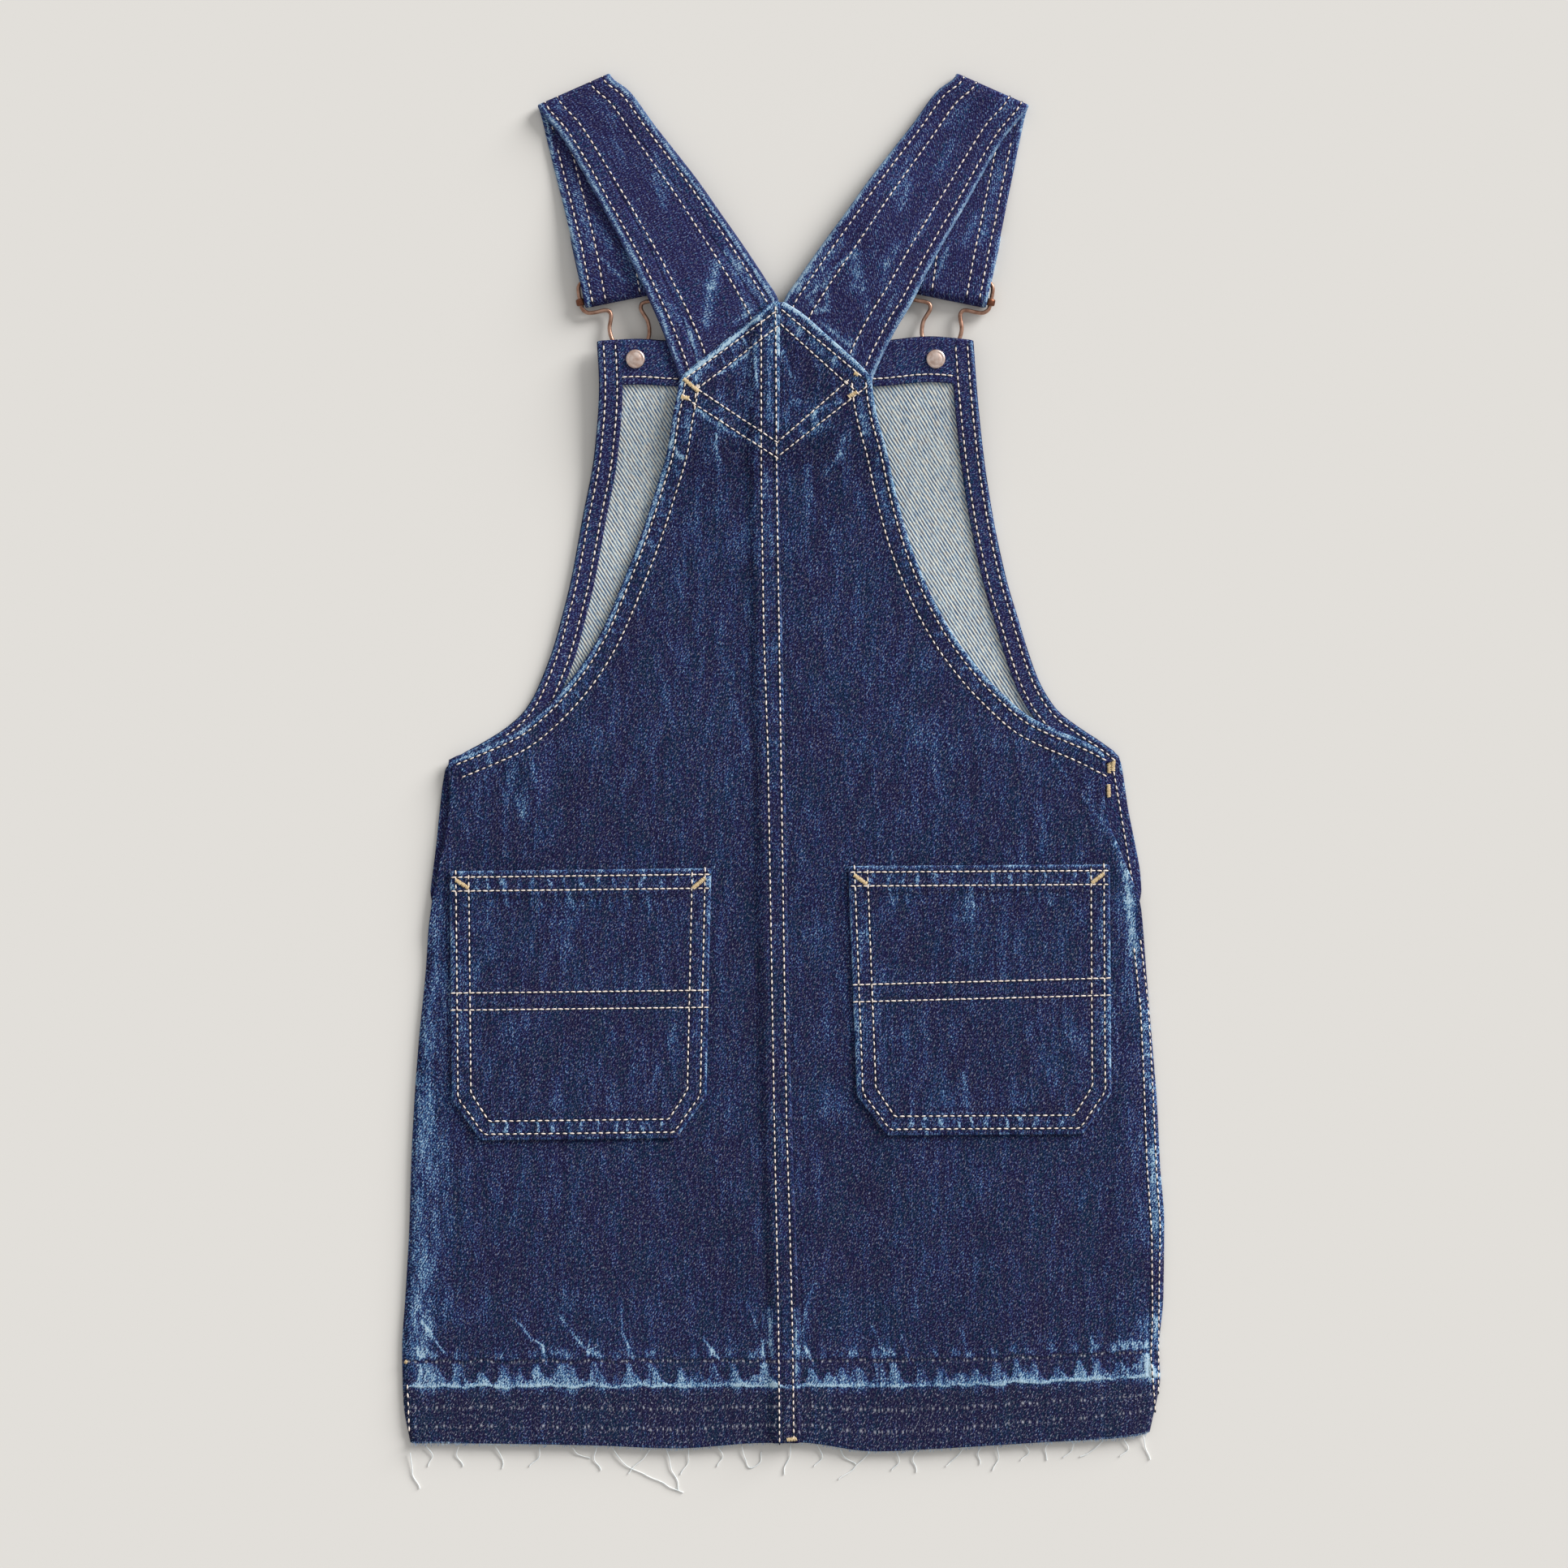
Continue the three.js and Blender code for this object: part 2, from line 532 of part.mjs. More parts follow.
/** A closed loop of round wire through the buckle's bends. */
function buckle(side) {
  const half = wireBends.map(({ across, up }) => [across, up]);
  const other = half.slice(1, -1).reverse().map(([across, up]) => [-across, up]);
  const path = new THREE.CatmullRomCurve3([...half, ...other].map(([across, up]) => {
    const { x, y } = onBuckle(across, up);
    return new THREE.Vector3(-side * x + BIB_CENTRE, y, BUCKLE_Z - BUCKLE_FALL * up);
  }), true);
  const steps = 64;
  const sides = 8;
  const positions = [];
  const index = [];
  const upwards = new THREE.Vector3(0, 0, 1);
  for (let i = 0; i < steps; i += 1) {
    const at = path.getPointAt(i / steps);
    const outwards = path.getTangentAt(i / steps).cross(upwards).normalize();
    for (let k = 0; k < sides; k += 1) {
      const angle = (2 * Math.PI * k) / sides;
      const point = at.clone().addScaledVector(outwards, WIRE_RADIUS * Math.cos(angle));
      positions.push(point.x, point.y, point.z + WIRE_RADIUS * Math.sin(angle));
      const next = (i + 1) % steps;
      const round = (k + 1) % sides;
      const [a, b, c, d] = [i * sides + k, next * sides + k, next * sides + round, i * sides + round];
      index.push(a, b, c, a, c, d);
    }
  }
  const geometry = new THREE.BufferGeometry();
  geometry.setAttribute('position', new THREE.Float32BufferAttribute(positions, 3));
  geometry.setIndex(index);
  return geometry;
}

/** A closed three.js mesh as a solid that can be joined or cut. */
function solid(geometry) {
  const bare = geometry.clone();
  bare.deleteAttribute('normal');
  bare.deleteAttribute('uv');
  const merged = mergeVertices(bare, 1e-4);
  return new wasm.Manifold(new wasm.Mesh({
    numProp: 3,
    vertProperties: new Float32Array(merged.attributes.position.array),
    triVerts: new Uint32Array(merged.index.array),
  }));
}

/** The bar that the strap goes round, with an eye at each end about a side wire. */
function buckleBar() {
  const reach = SIDE_WIRE - EYE_RADIUS + 0.4;
  let bar = solid(new THREE.CylinderGeometry(BAR_RADIUS, BAR_RADIUS, 2 * reach, 10).rotateZ(Math.PI / 2));
  for (const end of [-1, 1]) {
    const eye = solid(new THREE.CylinderGeometry(EYE_RADIUS, EYE_RADIUS, EYE_HEIGHT, 14).translate(end * SIDE_WIRE, 0, 0));
    const hole = solid(new THREE.CylinderGeometry(
      WIRE_RADIUS + GAP + 0.05,
      WIRE_RADIUS + GAP + 0.05,
      2 * EYE_HEIGHT,
      14,
    ).translate(end * SIDE_WIRE, 0, 0));
    bar = bar.add(eye).subtract(hole);
  }
  const mesh = bar.getMesh();
  const geometry = new THREE.BufferGeometry();
  geometry.setAttribute('position', new THREE.Float32BufferAttribute(mesh.vertProperties, 3));
  geometry.setIndex(Array.from(mesh.triVerts));
  return geometry;
}

/** A turned piece from its profile, with its axis upright. */
function turned(profile) {
  return new THREE.LatheGeometry(profile.map(([r, z]) => new THREE.Vector2(r, z)), 18).rotateX(Math.PI / 2);
}

/** The button's cap and neck, under the bib. */
function button() {
  const neckTop = BIB_LIFT_AT_BUTTON - GAP;
  return turned([
    [0, 0], [CAP_RADIUS - 1.4, 0], [CAP_RADIUS - 0.3, 0.6], [CAP_RADIUS, 1.5], [CAP_RADIUS - 0.5, CAP_HEIGHT],
    [NECK_RADIUS, CAP_HEIGHT], [NECK_RADIUS, neckTop], [0, neckTop],
  ]);
}

/** The domed back of the button, on the inside of the bib. */
function rivet() {
  return turned([
    [0, 0], [RIVET_RADIUS, 0], [RIVET_RADIUS, 0.5], [RIVET_RADIUS - 0.6, 1.1], [RIVET_RADIUS - 2, RIVET_HEIGHT - 0.1],
    [0, RIVET_HEIGHT],
  ]);
}

const dress = new THREE.Group();

/** Adds a named piece to the dress. */
function add(name, geometry, material) {
  const piece = new THREE.Mesh(geometry, material);
  piece.name = name;
  dress.add(piece);
  return piece;
}

add('front', front(), denimInside);
add('bib_facing', bibFacing(), denim);
add('back_left', backHalf(-1), denim);
add('back_right', backHalf(1), denim);
for (const row of pockets) add(row.name, pocket(row), denim);

const rivetZ = BIB_LIFT_AT_BUTTON + CLOTH + GAP + FACING + GAP;
for (const side of [-1, 1]) {
  const hand = side < 0 ? 'left' : 'right';
  const buttonX = BIB_CENTRE + side * BUTTON_HALF_SPACING;
  add(`armhole_hem_${hand}`, armholeHem(side), denim);
  add(`strap_${hand}`, strap(side), denim);
  add(`buckle_${hand}`, buckle(side), copper);
  const barAt = onBuckle(0, BAR_UP);
  const bar = add(`buckle_bar_${hand}`, buckleBar(), copper);
  bar.position.set(-side * barAt.x + BIB_CENTRE, barAt.y, BUCKLE_Z - BUCKLE_FALL * BAR_UP);
  bar.rotation.z = -side * BUCKLE_TILT;
  add(`button_${hand}`, button(), copper).position.set(buttonX, BUTTON_Y, 0);
  add(`rivet_${hand}`, rivet(), copper).position.set(buttonX, BUTTON_Y, rivetZ);
}

export default dress;
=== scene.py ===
"""Looks of a child's denim pinafore dress, laid flat on its front and seen from straight above.

Lengths are in millimetres in the row frame until a mesh is written, which is in metres.
"Left" and "right" are as seen from above, with the straps at the top.
"""

import logging
import math
from dataclasses import dataclass, field
from enum import Enum
from typing import Callable, NamedTuple, Optional, Sequence

import bpy
import numpy as np
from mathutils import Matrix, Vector
from mathutils.bvhtree import BVHTree


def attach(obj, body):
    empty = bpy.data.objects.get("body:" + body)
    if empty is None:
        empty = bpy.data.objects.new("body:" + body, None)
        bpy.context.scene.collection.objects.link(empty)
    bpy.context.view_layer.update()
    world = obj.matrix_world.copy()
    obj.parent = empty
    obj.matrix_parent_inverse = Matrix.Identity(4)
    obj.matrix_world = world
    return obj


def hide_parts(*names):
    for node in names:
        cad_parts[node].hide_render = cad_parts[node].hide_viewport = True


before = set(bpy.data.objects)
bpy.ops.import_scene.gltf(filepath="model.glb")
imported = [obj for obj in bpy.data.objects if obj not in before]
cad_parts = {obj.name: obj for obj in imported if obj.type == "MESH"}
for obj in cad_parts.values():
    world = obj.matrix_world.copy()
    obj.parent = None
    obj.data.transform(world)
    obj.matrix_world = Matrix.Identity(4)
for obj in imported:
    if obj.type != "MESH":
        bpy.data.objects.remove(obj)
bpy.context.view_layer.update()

log = logging.getLogger("pinafore")
MM = 0.001
Array = np.ndarray
Piece = bpy.types.Object
Material = bpy.types.Material
Tree = bpy.types.NodeTree
Node = bpy.types.Node
Socket = bpy.types.NodeSocket

# Lengths are in millimetres, where nothing else is said.
# Cloth and the gaps between its layers, as in the solids
CLOTH = 1.4
FACING = 1.2
STRAP = 2.0
GAP = 0.3
SLACK = 0.4

# Body: how high it puffs up, how wide an edge rolls, the front's inset, the lap, and the hem
PUFF = 1.7
ROLL = 4.0
FRONT_INSET = 3.4
LAP = 9.0
HEM_LINE = -336.0
HEM_FADE = 36.0

# Bib fastening: the buttons' places, and how far they lift the bib
BUTTON_HALF_SPACING = 73.8
BIB_CENTRE = 1.2
BUTTON_Y = 197.6
BIB_LIFT_AT_BUTTON = 5.5
BIB_LIFT_BETWEEN = 1.6
BIB_LIFT_SPREAD = 60.0

# Wire buckle: its wire and bar, its tilt, its level and how that falls, and its half widths
WIRE_RADIUS = 1.0
BAR_RADIUS = 1.1
BAR_UP = 33.4
BUCKLE_TILT = math.radians(11.5)
BUCKLE_Z = 3.9
BUCKLE_FALL = 0.015
SIDE_WIRE = 20.9
STRAP_HALF_AT_BAR = 18.2

# Sewing: two stitch pitches, the gauge of twin needles, the outer row's distance from an edge, and the
# puckers' pitch
STITCH_PITCH = 3.5
CLOSE_PITCH = 3.1
NEEDLE_GAUGE = 6.35
EDGE_ROW = 3.2
PUCKER_PITCH = 7.6

# View: the width and middle of what the photo shows
FRAME_WIDTH = 772.8
FRAME_CENTRE = (0.4, -11.2)
LENS_MM = 85.0
SENSOR_MM = 36.0
# Height in metres at which the frame is that wide
FRAME_LEVEL = 0.003


class BackSection(NamedTuple):
    """The back's side edges and the folded edge of its centre lap, at one height."""

    y: float
    left: float
    lap: float
    right: float


BACK_SECTIONS = [BackSection(*row) for row in (
    (224.8, -6.4, -2.2, 1.2), (220, -11.8, -2.2, 9), (210, -24, -2.3, 20.4), (200, -36.2, -2.3, 31.6),
    (192, -46, -2.4, 40), (187, -51, -2.4, 43.6), (182, -51.8, -2.4, 44), (170, -54.2, -2.6, 46),
    (153, -57, -3, 50.8), (135, -62.4, -3, 54.8), (110, -70.6, -2.4, 61.6), (88, -79.2, -1.8, 70),
    (65, -89, -1.2, 82), (46, -100.2, -0.8, 95.8), (30, -113.6, -0.4, 111.2), (22, -122, -0.2, 120.8),
    (15, -131, 0, 134.8), (9, -143.4, 0.1, 149), (4, -155.4, 0.2, 157.6), (0, -165, 0.2, 158.6),
    (-8, -164.9, 0.3, 158.4), (-18, -164.6, 0.5, 158.4), (-30, -165.6, 0.7, 160.2),
    (-40, -167.4, 0.9, 164.4), (-50, -169.4, 1, 168.4), (-60, -171.4, 1.2, 172.6),
    (-72, -173.6, 1.4, 176.4), (-84, -175, 1.6, 177.6), (-104, -176.4, 2, 179.2),
    (-136, -179.6, 2.7, 181.8), (-168, -182, 3.5, 184.4), (-200, -183.6, 4.4, 186),
    (-228, -184.4, 5.5, 188), (-264, -186.4, 6.8, 187.6), (-290, -188, 7.3, 185.4),
    (-304, -187.8, 7.5, 186), (-318, -187.2, 7.7, 184.4), (HEM_LINE, -184, 7.8, 181),
)]


class FrontSection(NamedTuple):
    """The front's side edges at one height above the hips."""

    y: float
    left: float
    right: float


FRONT_SECTIONS = [FrontSection(*row) for row in (
    (206, -91, 93), (184, -90, 94.6), (152, -92.4, 98), (120, -98.4, 103), (88, -104.4, 110),
    (72, -108.4, 114.8), (56, -112.8, 119.6), (40, -118.8, 125.4), (32, -122.4, 129.6), (24, -127.6, 135.6),
    (16, -136.4, 146), (8, -149.2, 158), (2, -160, 165), (-4, -166, 166.6), (-24, -168.8, 169.6),
    (-40, -170.4, 172.8), (-56, -172.4, 175.6), (-66, -173.6, 176.2), (-80, -174.6, 176.8),
)]


class HemDrop(NamedTuple):
    """How far the raw hem hangs below its mean height at one place across."""

    x: float
    drop: float


HEM_DROPS = [HemDrop(*row) for row in (
    (-190, -0.4), (-157, -0.4), (-96, 0.4), (-53, 1.9), (-10, -0.8), (7, -1), (45, 3.4), (74, 2.2),
    (131, -1.2), (160, -2.6), (174, -4.2), (190, -8.6),
)]


class Fold(NamedTuple):
    """A soft ridge, or a trough where the height is negative."""

    from_x: float
    from_y: float
    to_x: float
    to_y: float
    width: float
    height: float


FOLDS = [Fold(*row) for row in (
    (128, 4, 150, -22, 7, -1.1), (150, -22, 170, -62, 7, -1.1), (140, -4, 157, -40, 8, 0.9),
    (-128, 6, -121, -26, 7, 1), (-116, 8, -108, -30, 7, -0.8), (-176, -80, -181, -260, 6, 0.8),
    (166, -150, 172, -290, 8, 0.9), (-20, -210, -12, -320, 12, 0.9), (34, -200, 40, -318, 14, -0.7),
    (-96, -215, -90, -300, 18, 0.7), (110, -215, 104, -300, 18, 0.7), (-30, 168, -34, 120, 7, 0.8),
    (24, 168, 30, 118, 7, 0.8),
)]


class StrapSection(NamedTuple):
    """One section of the left strap: its outer and inner edge and the height of its underside."""

    outer_x: float
    outer_y: float
    inner_x: float
    inner_y: float
    outer_z: float
    inner_z: float


STRAP_BACK = [StrapSection(*row) for row in (
    (-44.6, 180.5, -1.7, 213, 0, 0), (-47.6, 191, -1.8, 224.6, 0, 4.4), (-56, 211, -9, 237, 8.8, 5.2),
    (-63.4, 225.4, -19.6, 252.6, 9.2, 6), (-70.4, 240, -30, 267, 8.6, 6.6),
    (-80.4, 258.8, -42.4, 284.6, 6.6, 6), (-89.8, 275.6, -53.4, 299, 4.8, 4.4),
    (-98.6, 291.8, -64.6, 313.4, 3.2, 3.2), (-109, 308.8, -76.4, 329.4, 2.8, 2.8),
)]
STRAP_FRONT = [StrapSection(*row) for row in (
    (-115.6, 306, -80.4, 320, 0, 0), (-112, 290, -76, 301, 0.2, 0.2),
    (-108.4, 274.6, -71.8, 283.4, 1.6, 1.6), (-106, 263.6, -69.2, 271.6, 2.8, 2.8),
    (-103.8, 254, -66.8, 261.6, 4, 4), (-101.8, 244, -64.8, 251.6, 4.9, 4.9),
    (-99.8, 234, -63.6, 241.4, 4.9, 4.9),
)]
SHOULDER_OUTER = (-119.4, 321.6)
SHOULDER_INNER = (-85.4, 336.6)
SHOULDER_MIDDLE_Z = 2.5
SHOULDER_RADIUS = 1.5


class TailSection(NamedTuple):
    """The strap's end under the buckle: how far up from the button, and half its width."""

    up: float
    half: float


STRAP_TAIL = [TailSection(38, 18.2), TailSection(46, 18.6), TailSection(56, 18.8), TailSection(66, 18.8)]


class Lean(NamedTuple):
    """How far the straps' lower ends lie to one side at one height."""

    y: float
    shift: float


YOKE_LEAN = [Lean(180, -3.6), Lean(192, -3.4), Lean(210, -2.3), Lean(226, -1), Lean(250, -0.5), Lean(275, 0)]


class WireBend(NamedTuple):
    """A bend in half of the buckle's wire, across and up from the button."""

    across: float
    up: float


WIRE_BENDS = [WireBend(*row) for row in (
    (0, -3.8), (2.7, -2.7), (3.8, 0), (4.5, 3.4), (6.8, 7), (8.9, 10.7), (9.7, 14.6), (9.5, 18.3),
    (8.2, 21.8), (7.5, 24.4), (8.3, 26.5), (10.6, 27.2), (15, 27.1), (18.4, 27.6), (20.4, 29.4),
    (SIDE_WIRE, 31.4), (SIDE_WIRE, 38.6), (20, 41.6), (17.4, 42.9), (10, 43), (0, 43),
)]


@dataclass(frozen=True)
class PocketSize:
    """A patch pocket with clipped lower corners, about its own middle."""

    name: str
    x: float
    top: float
    lean: float
    rise: float
    band_down: float
    band_rise: float
    half_top: float = 63.8
    half_foot: float = 47.8
    half_corner: float = 62.0
    height: float = 131.4
    corner: float = 19.4


POCKETS = [
    PocketSize("pocket_left", -99.8, -54, -0.006, 0.012, 63.6, 0.0),
    PocketSize("pocket_right", 96.4, -51.8, 0.022, 0.006, 62.0, 0.02),
]


class Streak(NamedTuple):
    """A worn streak on the cloth, or a darker one where its amount is negative: its ends, its width and how
    pale it is.
    """

    from_x: float
    from_y: float
    to_x: float
    to_y: float
    width: float
    amount: float


# Whiskers and worn patches of the back, as they show, and one painted shade along the trough of a fold
BACK_STREAKS = [Streak(*row) for row in (
    (-46, 191, -30, 203, 1.9, 0.5), (-30, 203, -14, 216, 1.9, 0.44), (-30, 191, -17, 200, 1.6, 0.55),
    (-13.4, 204, -13, 186, 1.6, 0.55), (-17, 199, -21, 182, 1.8, 0.34), (-7, 210, -6, 186, 2.4, 0.4),
    (-7, 180, -7, 168, 2.2, 0.3), (-3.2, 223, -2.6, 198, 1.4, 0.7), (-2.6, 198, -2.6, 166, 1.3, 0.36),
    (0.6, 200, 4, 188, 1.5, 0.5), (4, 188, 3, 170, 1.6, 0.34), (12, 205, 17, 194, 2.2, 0.26),
    (3, 224, 10, 219, 1.8, 0.5), (12, 217, 38, 195, 2.3, 0.34), (2, 219, 9, 211, 2.2, 0.4),
    (16, 205, 27, 195, 2.4, 0.36), (5, 177, 14, 173, 2.2, 0.34), (12, 169, 20, 174, 1.8, 0.42),
    (22, 175, 27, 176, 1.8, 0.36), (-16, 182, -13, 170, 2.4, 0.4), (-31, 180, -22, 169, 2.2, 0.26),
    (-40, 171, -31, 164, 1.8, 0.6), (-31, 165, -33, 157, 1.8, 0.64), (-33, 157, -31, 145, 1.8, 0.4),
    (-31, 164, -22, 160, 1.8, 0.46), (-22, 160, -14, 156, 1.6, 0.28), (-48, 168, -49, 160, 2.2, 0.42),
    (-54, 155, -51, 151, 1.8, 0.4), (-45, 162, -48, 146, 2.2, 0.3), (10, 160, 22, 166, 2.2, 0.4),
    (29, 158, 28, 148, 2.2, 0.4), (27, 150, 23, 144, 1.9, 0.34), (38, 173, 41, 160, 2.6, 0.44),
    (33, 170, 31, 158, 2.2, 0.3), (-42, 188, -38, 193, 2.2, 0.4), (-24, 203, -18, 207, 2.2, 0.36),
    (-8, 142, -13, 122, 2.2, 0.2), (12, 144, 13, 122, 2.2, 0.2), (-40, 140, -45, 116, 2.6, 0.2),
    (34, 140, 41, 114, 2.4, 0.22), (47, 140, 52, 120, 2.2, 0.26), (-134, 4, -129, -24, 3.6, 0.3),
    (-124, 2, -120, -18, 1.7, 0.26), (-143, -2, -137, -18, 1.8, 0.2), (-129, -20, -118, -44, 4, 0.2),
    (-116, 10, -112, -10, 2.8, 0.26), (134, 0, 146, -15, 1.6, 0.34), (146, -15, 164, -38, 1.7, 0.34),
    # painted shade: the first streak below, with its negative amount, darkens the trough of a fold
    (137, -4, 152, -24, 2.6, -0.2), (124, -4, 128, -40, 3, 0.16), (163.4, -41, 168.4, -54, 1.6, 0.45),
    (168.4, -54, 171, -72, 2.2, 0.46), (171, -72, 171.4, -94, 2.3, 0.42), (171, -56, 173, -100, 3, 0.4),
    (-177, -72, -184, -300, 8.5, 0.31), (-169, -78, -175, -296, 9, 0.17), (-160, -90, -165, -270, 10, 0.1),
    (-176, -168, -173, -206, 4, 0.16), (-178, -240, -180, -290, 5, 0.16), (-146, -250, -156, -290, 7, 0.08),
    (168, -66, 172, -130, 4, 0.12), (183, -162, 187, -240, 4.6, 0.34), (181.5, -192, 183, -232, 2.6, 0.36),
    (176, -114, 180, -160, 4, 0.26), (173, -172, 177, -236, 4, 0.2), (184, -272, 183, -310, 4.6, 0.3),
    (178, -277, 180, -291, 3.4, 0.5), (184, -275, 185, -288, 2.4, 0.4), (178, -294, 183, -303, 3, 0.5),
    (170, -262, 172, -300, 5, 0.12), (-6.4, -272, -5.4, -291, 1.9, 0.6), (-5, -298, -4, -308, 2.4, 0.34),
    (6, -272, 6.6, -306, 1.5, 0.6), (14, -260, 10.6, -272, 1.6, 0.4), (10.6, -272, 9.6, -286, 1.6, 0.4),
    (-179, -270, -172, -278, 2.2, 0.3), (-176, -279, -168, -290, 1.1, 0.62),
    (-130, -277, -124, -284, 1, 0.5), (-124, -284, -118.6, -287.4, 1, 0.62),
    (-118.6, -287.4, -117.4, -293, 1.2, 0.75), (-108, -276, -101, -285, 1.1, 0.46),
    (-101, -285, -95.6, -291.4, 1.1, 0.58), (-91, -287, -90, -293.6, 1.1, 0.44),
    (-95, -291.6, -90, -292.4, 1.1, 0.44), (-80, -268, -79, -281, 0.9, 0.34),
    (-79, -281, -74.6, -292, 1.1, 0.58), (-38, -286, -31.4, -294.6, 1.1, 0.58),
    (-10, -288, -9, -294, 1.2, 0.5), (-16, -270, -14, -276, 1.1, 0.4), (10, -287, 14, -295, 1.2, 0.5),
    (45, -281, 49, -289, 1.2, 0.36), (88, -281, 90, -291, 1.2, 0.34), (59, -285, 62, -294, 1.2, 0.5),
    (152, -286, 152, -292, 1.2, 0.44), (160, -289.4, 172, -287, 2.3, 0.34), (-28, -70, -26, -180, 4, 0.1),
    (22, -80, 24, -170, 5, 0.08), (-60, 30, -66, -30, 7, 0.08), (70, 20, 76, -40, 7, 0.08),
    (-60, -210, -62, -280, 8, 0.06), (80, -210, 84, -280, 8, 0.06), (-96, -196, 96, -300, 90, -0.05),
    (-70, 90, 70, 40, 80, 0.05),
)]
# The same on a pocket, from its middle top, and how far across its short ticks under the mouth lie
POCKET_TICKS = (-44, -37, -29.5, -20, -12, -4.5, 5, 14, 23, 33, 43)
POCKET_STREAKS = [Streak(*row) for row in (
    *[(x, -12.2, x + 0.8, -14.2 - abs(x) % 2.4, 1.5, 0.3) for x in POCKET_TICKS],
    (-61, -30, -60, -106, 2.6, 0.3), (-52, -24, -50, -92, 4, 0.14), (61, -20, 60, -96, 2.2, 0.2),
    (-46, -14, -44, -40, 4, 0.14), (-6, -14, -6, -44, 4, 0.16), (46, -14, 48, -30, 3, 0.12),
    (-36, -120, -34, -108, 1.6, 0.17), (-8, -120, -10, -104, 1.6, 0.25), (14, -120, 15, -106, 1.6, 0.17),
    (46, -84, 50, -92, 3, 0.26), (34, -112, 38, -100, 1.6, 0.20), (-54, -76, -52, -96, 3, 0.16),
    (-20, -112, 24, -113, 5, 0.08), (-30, -24, 30, -24, 6, 0.06), (30, -80, 34, -104, 6, 0.08),
    (-34, -76, -38, -100, 6, 0.08), (-18, -22, -10, -26, 1.4, 0.15), (-10, -26, -4, -24, 1.4, 0.12),
)]
# The same on both straps, as they lie
STRAP_CREASES = [Streak(*row) for row in (
    (-33, 244, -35, 234, 3.2, 0.4), (-36, 232, -38, 214, 2.4, 0.42), (-53, 223, -45, 207, 2.2, 0.36),
    (-45, 208, -42, 198, 2, 0.5), (-61, 247, -52, 229, 3, 0.22), (-21, 229, -17, 221, 2.3, 0.4),
    (-17, 221, -22, 217, 2, 0.36), (-28, 250, -9, 226, 3, 0.26), (-62, 233, -55, 216, 2.6, 0.2),
    (-24, 244, -22, 236, 2.4, 0.2), (28, 256, 8, 232, 3.4, 0.32), (31, 247, 20, 237, 1.6, 0.46),
    (20, 237, 13, 228, 1.6, 0.46), (13, 228, 16, 221, 2, 0.52), (16, 221, 22, 222, 2, 0.5),
    (22, 222, 21, 238, 1.8, 0.5), (36, 250, 35, 241, 2.4, 0.44), (37, 239, 34, 232, 2.2, 0.36),
    (39, 235, 42, 218, 2.2, 0.3), (56, 254, 51, 244, 2.6, 0.28), (50, 244, 49, 230, 2.4, 0.26),
    (22, 213, 33, 204, 2, 0.5), (58, 238, 47, 214, 2.6, 0.22), (36, 207, 34, 200, 1.8, 0.4),
    (-78, 250, -72, 236, 2.4, 0.3), (80, 250, 76, 240, 1.6, 0.44), (-88, 246, -80, 238, 1.6, 0.4),
)]
# The same on a strap: across from its outer edge and along from its lower end
STRAP_STREAKS = [Streak(*row) for row in (
    (26, 84, 29, 98, 2.4, 0.2), (12, 74, 11, 92, 2.4, 0.2), (33, 88, 34, 108, 2.4, 0.2),
    (18, 108, 20, 126, 2.4, 0.14), (26, 132, 24, 148, 2.6, 0.14), (8, 150, 12, 166, 2.4, 0.18),
    (16, 200, 22, 214, 2.2, 0.2), (26, 214, 30, 228, 2.2, 0.24), (12, 222, 16, 238, 2.2, 0.24),
    (6, 196, 8, 236, 2.4, 0.2), (31, 190, 33, 236, 2.4, 0.2),
)]
# How much stronger the straps' streaks are drawn than their amounts say
STRAP_STREAK_GAIN = 1.25
# How far along a strap its lower edges are worn, and where its fold and its buckle are
STRAP_WORN_TO = 130.0
STRAP_FOLD = 186.0
STRAP_BUCKLE = 265.0
# The stitch rows of an armhole's hem, from its edge, and the height of the row along the facing's foot
ARMHOLE_HEM_ROWS = (2.6, 8.4)
FACING_FOOT = 187.8
# The strap's stitch rows, from its outer edge, and where they run behind the shoulder and in front of it
STRAP_ROWS = (3.2, 10, 28.2, 35)
STRAP_ROW_SPANS = ((5, 172), (182, 262))
# A streak narrower than this is drawn as a crisp line
CRISP = 2.05
# How far a pale ridge above the let-down fold leans to the left for each millimetre that it rises
TONGUE_LEAN = 0.18


class Tongue(NamedTuple):
    """A pale ridge that runs up from the let-down fold: its place, half its width and its height."""

    x: float
    half: float
    high: float


TONGUES = [Tongue(*row) for row in (
    (-174, 4.6, 9.5), (-160, 1.8, 9.5), (-149, 0.8, 6), (-138, 1.4, 9), (-130, 0.6, 8), (-121, 1.6, 9.5),
    (-110.5, 1.4, 9), (-104.5, 1.8, 9), (-92, 1.8, 9.5), (-82, 0.7, 5), (-75, 1.3, 9), (-64, 1.6, 9),
    (-50, 0.8, 7), (-42, 1, 6), (-33.5, 1.3, 9), (-24, 1, 9), (-14, 1.6, 4), (-8.6, 1.4, 10), (14, 1, 7),
    (22, 1, 5), (29, 1.4, 7), (37, 2.4, 7), (47.5, 1.2, 9), (55, 1.6, 9.5), (68, 1, 9), (78, 1.4, 8),
    (87, 1.2, 5), (95, 1.3, 6), (105.5, 1.8, 9.5), (115.5, 1.3, 9), (123.5, 1.3, 9), (135, 1.2, 6),
    (146, 1.2, 8), (155, 1.6, 8), (166, 2, 6), (174, 2.6, 5), (179, 2, 9),
)]


class Path(NamedTuple):
    """A named line of points on the cloth."""

    name: str
    points: list


